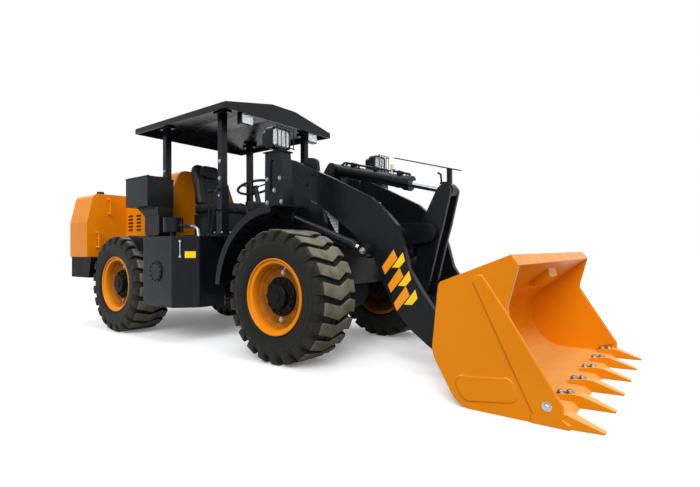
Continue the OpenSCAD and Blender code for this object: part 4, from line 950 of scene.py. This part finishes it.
# Blank plate: shares along the chamfer and heights
BLANK = [(0.46, 0.835), (0.86, 0.835), (0.86, 0.90), (0.46, 0.90)]
BLANK_SUNK, BLANK_T = 0.0005, 0.002


def on_chamfer(along, z, out):
    """A place a share along the tank's chamfer, and out from it."""
    x, y = [a + (b - a) * along + way * out for a, b, way in zip(CHAMFER_A, CHAMFER_B, CHAMFER_OUT)]
    return at(x, y, z)


def tank_bolt_in(bm):
    bolt_in(bm, (0, 0, TANK_BOLT_R), OUTWARDS, TANK_BOLT)


def make_tank_bolts():
    mesh = repeated(built(tank_bolt_in), RING, DARK, Count=TANK_BOLT_COUNT, Start=0.0)
    mesh.transform(Matrix.Translation(at(*TANK_FLANGE)))
    piece("tank_flange_bolts", mesh, "rear_frame", DARK)


def gauge_and_elbow_in(bm):
    low, high = [on_chamfer(GAUGE_ALONG, z, GAUGE_OUT) for z in GAUGE_Z]
    rod_in(bm, low, high, GAUGE_R, sides=16)
    for z in GAUGE_NUTS_Z:
        inner, outer = [on_chamfer(GAUGE_ALONG, z, out) for out in GAUGE_NUT_OUT]
        rod_in(bm, inner, outer, GAUGE_NUT_R, sides=6)
    tube_in(bm, bent([at(*place) for place in ELBOW], ELBOW_BEND, 8), ELBOW_R, PIPE_SIDES)


def filter_outlet_in(bm):
    tube_in(bm, [at(*place) for place in OUTLET], OUTLET_R, PIPE_SIDES)


def blank_plate_in(bm):
    plate_in(bm, BLANK, lambda along, z, w: on_chamfer(along, z, w - BLANK_SUNK), BLANK_T)


make_tank_bolts()
fit("tank_gauge_and_elbow", gauge_and_elbow_in, "rear_frame", ZINC, 40)
fit("filter_outlet", filter_outlet_in, "rear_frame", PLASTIC, 40)
fit("tank_blank_plate", blank_plate_in, "rear_frame", BAR_YELLOW)

# Rear mudguards: a short arc behind each tank, with a rounded box and a tray that carry the toolbox
GUARD_R, GUARD_T, GUARD_Y, GUARD_W = 0.5975, 0.012, 0.500, 0.440
GUARD_ARC, GUARD_STEPS = (38, 62), 12
CARRIER_Y, CARRIER_W = 0.600, 0.160
CARRIER_MIDDLE, CARRIER_HALF, CARRIER_CORNER = (-0.830, 1.232), (0.145, 0.157), 0.035
TRAY = [(-1.120, 1.390), (-0.690, 1.390), (-0.690, 1.300), (-0.960, 1.290)]
TRAY_OUT = 0.01


def rear_guard_in(bm, side):
    first, last = GUARD_ARC
    turns = [math.radians(first + (last - first) * k / GUARD_STEPS) for k in range(GUARD_STEPS + 1)]
    arc = [(r, t) for r, order in ((GUARD_R, turns), (GUARD_R + GUARD_T, reversed(turns))) for t in order]
    outline = [(-AXLE_X + r * math.cos(t), TYRE_R + r * math.sin(t)) for r, t in arc]
    side_plate_in(bm, outline, side, GUARD_Y, GUARD_W)
    x, z = CARRIER_MIDDLE
    carrier = [(x + u, z + v) for u, v in rounded(*CARRIER_HALF, CARRIER_CORNER)]
    side_plate_in(bm, carrier, side, CARRIER_Y, CARRIER_W)
    side_plate_in(bm, TRAY, side, CARRIER_Y + TRAY_OUT, CARRIER_W)


fit_pair("rear_mudguards", rear_guard_in, "rear_frame", DARK, replaces="rear_fenders")

# Bonnet and cowl: slats behind the louvre slots, black as painted shade in the slots, and a filler cap
LOUVRE_X = (-1.782, -1.587)
LOUVRE_Z, LOUVRE_PITCH, LOUVRE_COUNT = 1.170, 0.044, 5
# Slat, seen from ahead: out from the machine's middle, and height over its slot
SLAT = [(0.492, 0.010), (0.508, -0.008), (0.510, -0.006), (0.494, 0.014)]
SLAT_LENGTH = 0.098
# Filler cap: height and radius of its neck's foot, of its cap's foot and of its cap's top
FILLER_X, FILLER_Y = -2.03, -0.76
NECK_Z, CAP_Z, CAP_TOP_Z = 1.608, 1.622, 1.650
NECK_R, FILLER_CAP_R, FILLER_CAP_TOP_R = 0.052, 0.044, 0.040


def make_slats():
    parts = []
    for x in LOUVRE_X:
        for side in (-1, 1):
            def slat_in(bm):
                start = x - SLAT_LENGTH / 2
                plate_in(bm, SLAT, lambda y, rise, w: at(start + w, side * y, LOUVRE_Z + rise), SLAT_LENGTH)
            step = (0, 0, LOUVRE_PITCH)
            parts.append(repeated(built(slat_in), ROW, PLASTIC, Count=LOUVRE_COUNT, Step=step))
    # The slats' black plastic is painted shade: it darkens the louvre slots
    piece("bonnet_slats_painted_shade", joined(*parts), "rear_frame", PLASTIC)


def filler_cap_in(bm):
    neck, cap, top = [at(FILLER_X, FILLER_Y, z) for z in (NECK_Z, CAP_Z, CAP_TOP_Z)]
    rod_in(bm, neck, cap, NECK_R, sides=32)
    rod_in(bm, cap, top, FILLER_CAP_R, FILLER_CAP_TOP_R, 12)


make_slats()
fit("cowl_filler_cap", filler_cap_in, "rear_frame", PLASTIC)

# Seat: two padded pieces, swelled by cloth pressure
SEAT_Y, CUSHION_HALF_W, BACK_HALF_W = -0.060, 0.222, 0.205
CUSHION_LOW = Vector((-0.770, SEAT_Y - CUSHION_HALF_W, 1.338))
CUSHION_HIGH = Vector((-0.300, SEAT_Y + CUSHION_HALF_W, 1.436))
CUSHION_EDGE = 0.028
BOLSTER_R, BOLSTER_REAR_IN, BOLSTER_FRONT_IN = 0.045, 0.04, 0.03
ROLL_R, ROLL_BACK, ROLL_DOWN, ROLL_END_IN = 0.05, 0.05, 0.045, 0.03
BACK_LOW = Vector((-0.815, SEAT_Y - BACK_HALF_W, 1.400))
BACK_HIGH = Vector((-0.760, SEAT_Y + BACK_HALF_W, 1.945))
# Lean and corners of the seat back, its bolsters and its head rest
BACK_LEAN, BACK_CORNER = 0.06, 0.10
BACK_BOLSTER_AHEAD, BACK_BOLSTER_TOP_R, BACK_BOLSTER_FOOT_IN, BACK_BOLSTER_TOP_IN = 0.055, 0.04, 0.06, 0.20
REST_SIDE_IN, REST_HALF_H, REST_CORNER, REST_DOWN, REST_AHEAD, REST_T = 0.09, 0.07, 0.05, 0.10, 0.03, 0.075
VOXEL, PRESSURE, MOST_SWELL, CLOTH_FRAMES = 0.006, 4.0, 0.022, 20


def cushion_form(bm):
    """Seat cushion before it swells: a flat middle, a bolster along each side and a roll in front."""
    low, high = CUSHION_LOW, CUSHION_HIGH
    box_in(bm, at(*low), at(*high), CUSHION_EDGE)
    for y in (low.y + BOLSTER_R, high.y - BOLSTER_R):
        rear = at(low.x + BOLSTER_REAR_IN, y, high.z - CUSHION_EDGE)
        front = at(high.x - BOLSTER_FRONT_IN, y, high.z - CUSHION_EDGE)
        rod_in(bm, rear, front, BOLSTER_R, sides=24)
    right, left = low.y + ROLL_END_IN, high.y - ROLL_END_IN
    cross_rod_in(bm, high.x - ROLL_BACK, high.z - ROLL_DOWN, right, left, ROLL_R, sides=24)


def back_form(bm):
    """Seat back before it swells: a rounded plate that leans back, a bolster each side and a raised head."""
    middle, half = (BACK_LOW + BACK_HIGH) / 2, (BACK_HIGH - BACK_LOW) / 2

    def on_back(u, v, w):
        return at(BACK_LOW.x + w - BACK_LEAN * (v / half.z), middle.y + u, middle.z + v)
    plate_in(bm, rounded(half.y, half.z, BACK_CORNER, 8), on_back, 2 * half.x)
    for side in (-1, 1):
        y = side * (half.y - BOLSTER_R)
        foot = on_back(y, -half.z + BACK_BOLSTER_FOOT_IN, BACK_BOLSTER_AHEAD)
        top = on_back(y, half.z - BACK_BOLSTER_TOP_IN, BACK_BOLSTER_AHEAD)
        rod_in(bm, foot, top, BOLSTER_R, BACK_BOLSTER_TOP_R, 24)
    plate_in(bm, rounded(half.y - REST_SIDE_IN, REST_HALF_H, REST_CORNER),
             lambda u, v, w: on_back(u, v + half.z - REST_DOWN, w + REST_AHEAD), REST_T)


def swelled(form):
    start = bpy.data.objects.new("start", built(form))
    remesh = start.modifiers.new("even", "REMESH")
    remesh.mode, remesh.voxel_size = "VOXEL", VOXEL
    even = plain_mesh(start)
    holder = bpy.data.objects.new("cloth", even)
    scene.collection.objects.link(holder)
    cloth = holder.modifiers.new("swell", "CLOTH")
    cloth.settings.use_pressure = True
    cloth.settings.uniform_pressure_force = PRESSURE
    cloth.settings.effector_weights.gravity = 0.0
    cloth.point_cache.frame_start, cloth.point_cache.frame_end = 1, CLOTH_FRAMES
    for step in range(1, CLOTH_FRAMES + 1):
        scene.frame_set(step)
    swell = bpy.data.meshes.new_from_object(holder.evaluated_get(bpy.context.evaluated_depsgraph_get()))
    for before, after in zip(even.vertices, swell.vertices):
        moved = after.co - before.co
        if moved.length > MOST_SWELL:
            after.co = before.co + moved * (MOST_SWELL / moved.length)
    scene.frame_set(1)
    bpy.data.objects.remove(holder)
    return swell


def finer(mesh):
    """One smoothing subdivision."""
    holder = bpy.data.objects.new("holder", mesh)
    holder.modifiers.new("finer", "SUBSURF").levels = 1
    return plain_mesh(holder)


def make_padding(name, form):
    mesh = finer(swelled(form))
    mesh.polygons.foreach_set("use_smooth", [True] * len(mesh.polygons))
    cushion = piece(name, mesh, "rear_frame", VINYL, "seat_pads")


make_padding("seat_cushion", cushion_form)
make_padding("seat_back", back_form)

# Controls: a box of gauges on the column, levers beside the seat and pedals
GAUGE_BOX_LOW, GAUGE_BOX_HIGH, GAUGE_BOX_EDGE = (0.085, -0.20, 1.33), (0.19, 0.08, 1.43), 0.012
DIALS_Y, DIAL_Z, DIAL_R, DIAL_BACK_X, DIAL_FACE_X = (-0.14, -0.06, 0.02), 1.385, 0.028, 0.088, 0.082
# Levers: y, and x of the knob
LEVERS = [(-0.335, -0.28), (-0.385, -0.30)]
LEVER_FOOT_X, LEVER_TOP_Z, LEVER_R, KNOB_R = -0.36, 1.56, 0.007, 0.022
PEDALS_Y, PEDAL_X, PEDAL_Z = (-0.26, 0.16), (-0.05, 0.07), (1.085, 1.10)
PEDAL_HALF_W, PEDAL_EDGE = 0.05, 0.004
STALK_X, STALK_TOP_Z, STALK_R = 0.03, 1.09, 0.010


def gauge_box_in(bm):
    box_in(bm, at(*GAUGE_BOX_LOW), at(*GAUGE_BOX_HIGH), GAUGE_BOX_EDGE)


def gauge_faces_in(bm):
    for y in DIALS_Y:
        rod_in(bm, at(DIAL_BACK_X, y, DIAL_Z), at(DIAL_FACE_X, y, DIAL_Z), DIAL_R, sides=28)


def levers_and_pedals_in(bm):
    for y, knob_x in LEVERS:
        knob = at(knob_x, y, LEVER_TOP_Z)
        rod_in(bm, at(LEVER_FOOT_X, y, DECK_Z), knob, LEVER_R, sides=12)
        bmesh.ops.create_uvsphere(bm, u_segments=16, v_segments=10, radius=KNOB_R,
                                  matrix=Matrix.Translation(knob))
    for y in PEDALS_Y:
        box_in(bm, at(PEDAL_X[0], y - PEDAL_HALF_W, PEDAL_Z[0]), at(PEDAL_X[1], y + PEDAL_HALF_W, PEDAL_Z[1]),
               PEDAL_EDGE)
        rod_in(bm, at(STALK_X, y, DECK_Z), at(STALK_X, y, STALK_TOP_Z), STALK_R, sides=12)


fit("gauge_box", gauge_box_in, "rear_frame", PLASTIC)
fit("gauge_faces", gauge_faces_in, "rear_frame", WHITE)
fit("levers_and_pedals", levers_and_pedals_in, "rear_frame", PLASTIC, 40)

# Studio: pale floor, soft lights and a white surround
FLOOR_HALF, FLOOR_TONE_MM, FLOOR_GLOW = 60.0, 900, 0.14
# Wide lights: name, the way they shine, spread in degrees and strength
SUNS = [("key", (-0.38, 0.72, -0.62), 40, 2.7), ("fill", (-0.85, -0.25, -0.50), 70, 0.5),
        ("rim", (0.75, -0.35, -0.60), 60, 0.5)]
TOP_AT, TOP_LENGTH, TOP_WIDTH, TOP_WATTS = (0.3, -0.3, 5.5), 8.0, 3.2, 200
SOFT_STRENGTH, WHITE_STRENGTH = 0.45, 1.0
WHITE_LIGHT = (1, 1, 1, 1)


def seen(tree):
    """1 where the camera, a mirror or glass looks, 0 where light only bounces."""
    path = add(tree, "ShaderNodeLightPath").node.outputs
    straight = add(tree, "ShaderNodeMath", {0: path["Is Camera Ray"], 1: path["Is Glossy Ray"]},
                   operation="MAXIMUM")
    return add(tree, "ShaderNodeMath", {0: straight, 1: path["Is Transmission Ray"]}, operation="MAXIMUM")


def studio_floor(name):
    """Matt painted floor: white to the eye, grey to the light that bounces off it, with its shadows kept."""
    material, tree, shader, where = blank(name)
    noise = add(tree, "ShaderNodeTexNoise",
                {"Vector": where, "Scale": MM_PER_M / FLOOR_TONE_MM, "Detail": 3.0})
    tone = add(tree, "ShaderNodeMix", {0: noise, 6: linear("#f6f6f6"), 7: linear("#f2f2f2")}, 2,
               data_type="RGBA")
    feed(tree, shader, {"Base Color": tone, "Roughness": 0.9, "Emission Color": WHITE_LIGHT,
                        "Emission Strength": FLOOR_GLOW})
    ground = add(tree, "ShaderNodeBsdfDiffuse", {"Color": linear("#8c8c8a")})
    choice = add(tree, "ShaderNodeMixShader", {0: seen(tree), 1: ground, 2: shader.outputs[0]})
    feed(tree, tree.nodes["Material Output"], {"Surface": choice})
    return material


def make_floor():
    def floor_in(bm):
        bmesh.ops.create_grid(bm, x_segments=1, y_segments=1, size=FLOOR_HALF)
    floor = bpy.data.objects.new("floor", built(floor_in))
    floor.data.materials.append(studio_floor("pale_studio_floor"))
    scene.collection.objects.link(floor)


def make_lights():
    for name, ahead, spread, strength in SUNS:
        data = bpy.data.lights.new(name, "SUN")
        data.angle, data.energy = math.radians(spread), strength
        sun = bpy.data.objects.new(name, data)
        sun.matrix_world = Vector(ahead).to_track_quat("-Z", "Y").to_matrix().to_4x4()
        scene.collection.objects.link(sun)
    data = bpy.data.lights.new("top", "AREA")
    data.shape, data.size, data.size_y, data.energy = "RECTANGLE", TOP_LENGTH, TOP_WIDTH, TOP_WATTS
    top = bpy.data.objects.new("top", data)
    top.location = TOP_AT
    scene.collection.objects.link(top)


def make_surround():
    world = bpy.data.worlds.new("studio")
    scene.world = world
    world.use_nodes = True
    tree = world.node_tree
    soft = tree.nodes["Background"]
    feed(tree, soft, {"Color": linear("#e9edf2"), "Strength": SOFT_STRENGTH})
    white = add(tree, "ShaderNodeBackground", {"Color": WHITE_LIGHT, "Strength": WHITE_STRENGTH})
    choice = add(tree, "ShaderNodeMixShader", {0: seen(tree), 1: soft.outputs[0], 2: white})
    feed(tree, tree.nodes["World Output"], {"Surface": choice})


make_floor()
make_lights()
make_surround()
scene.view_settings.view_transform = "Standard"
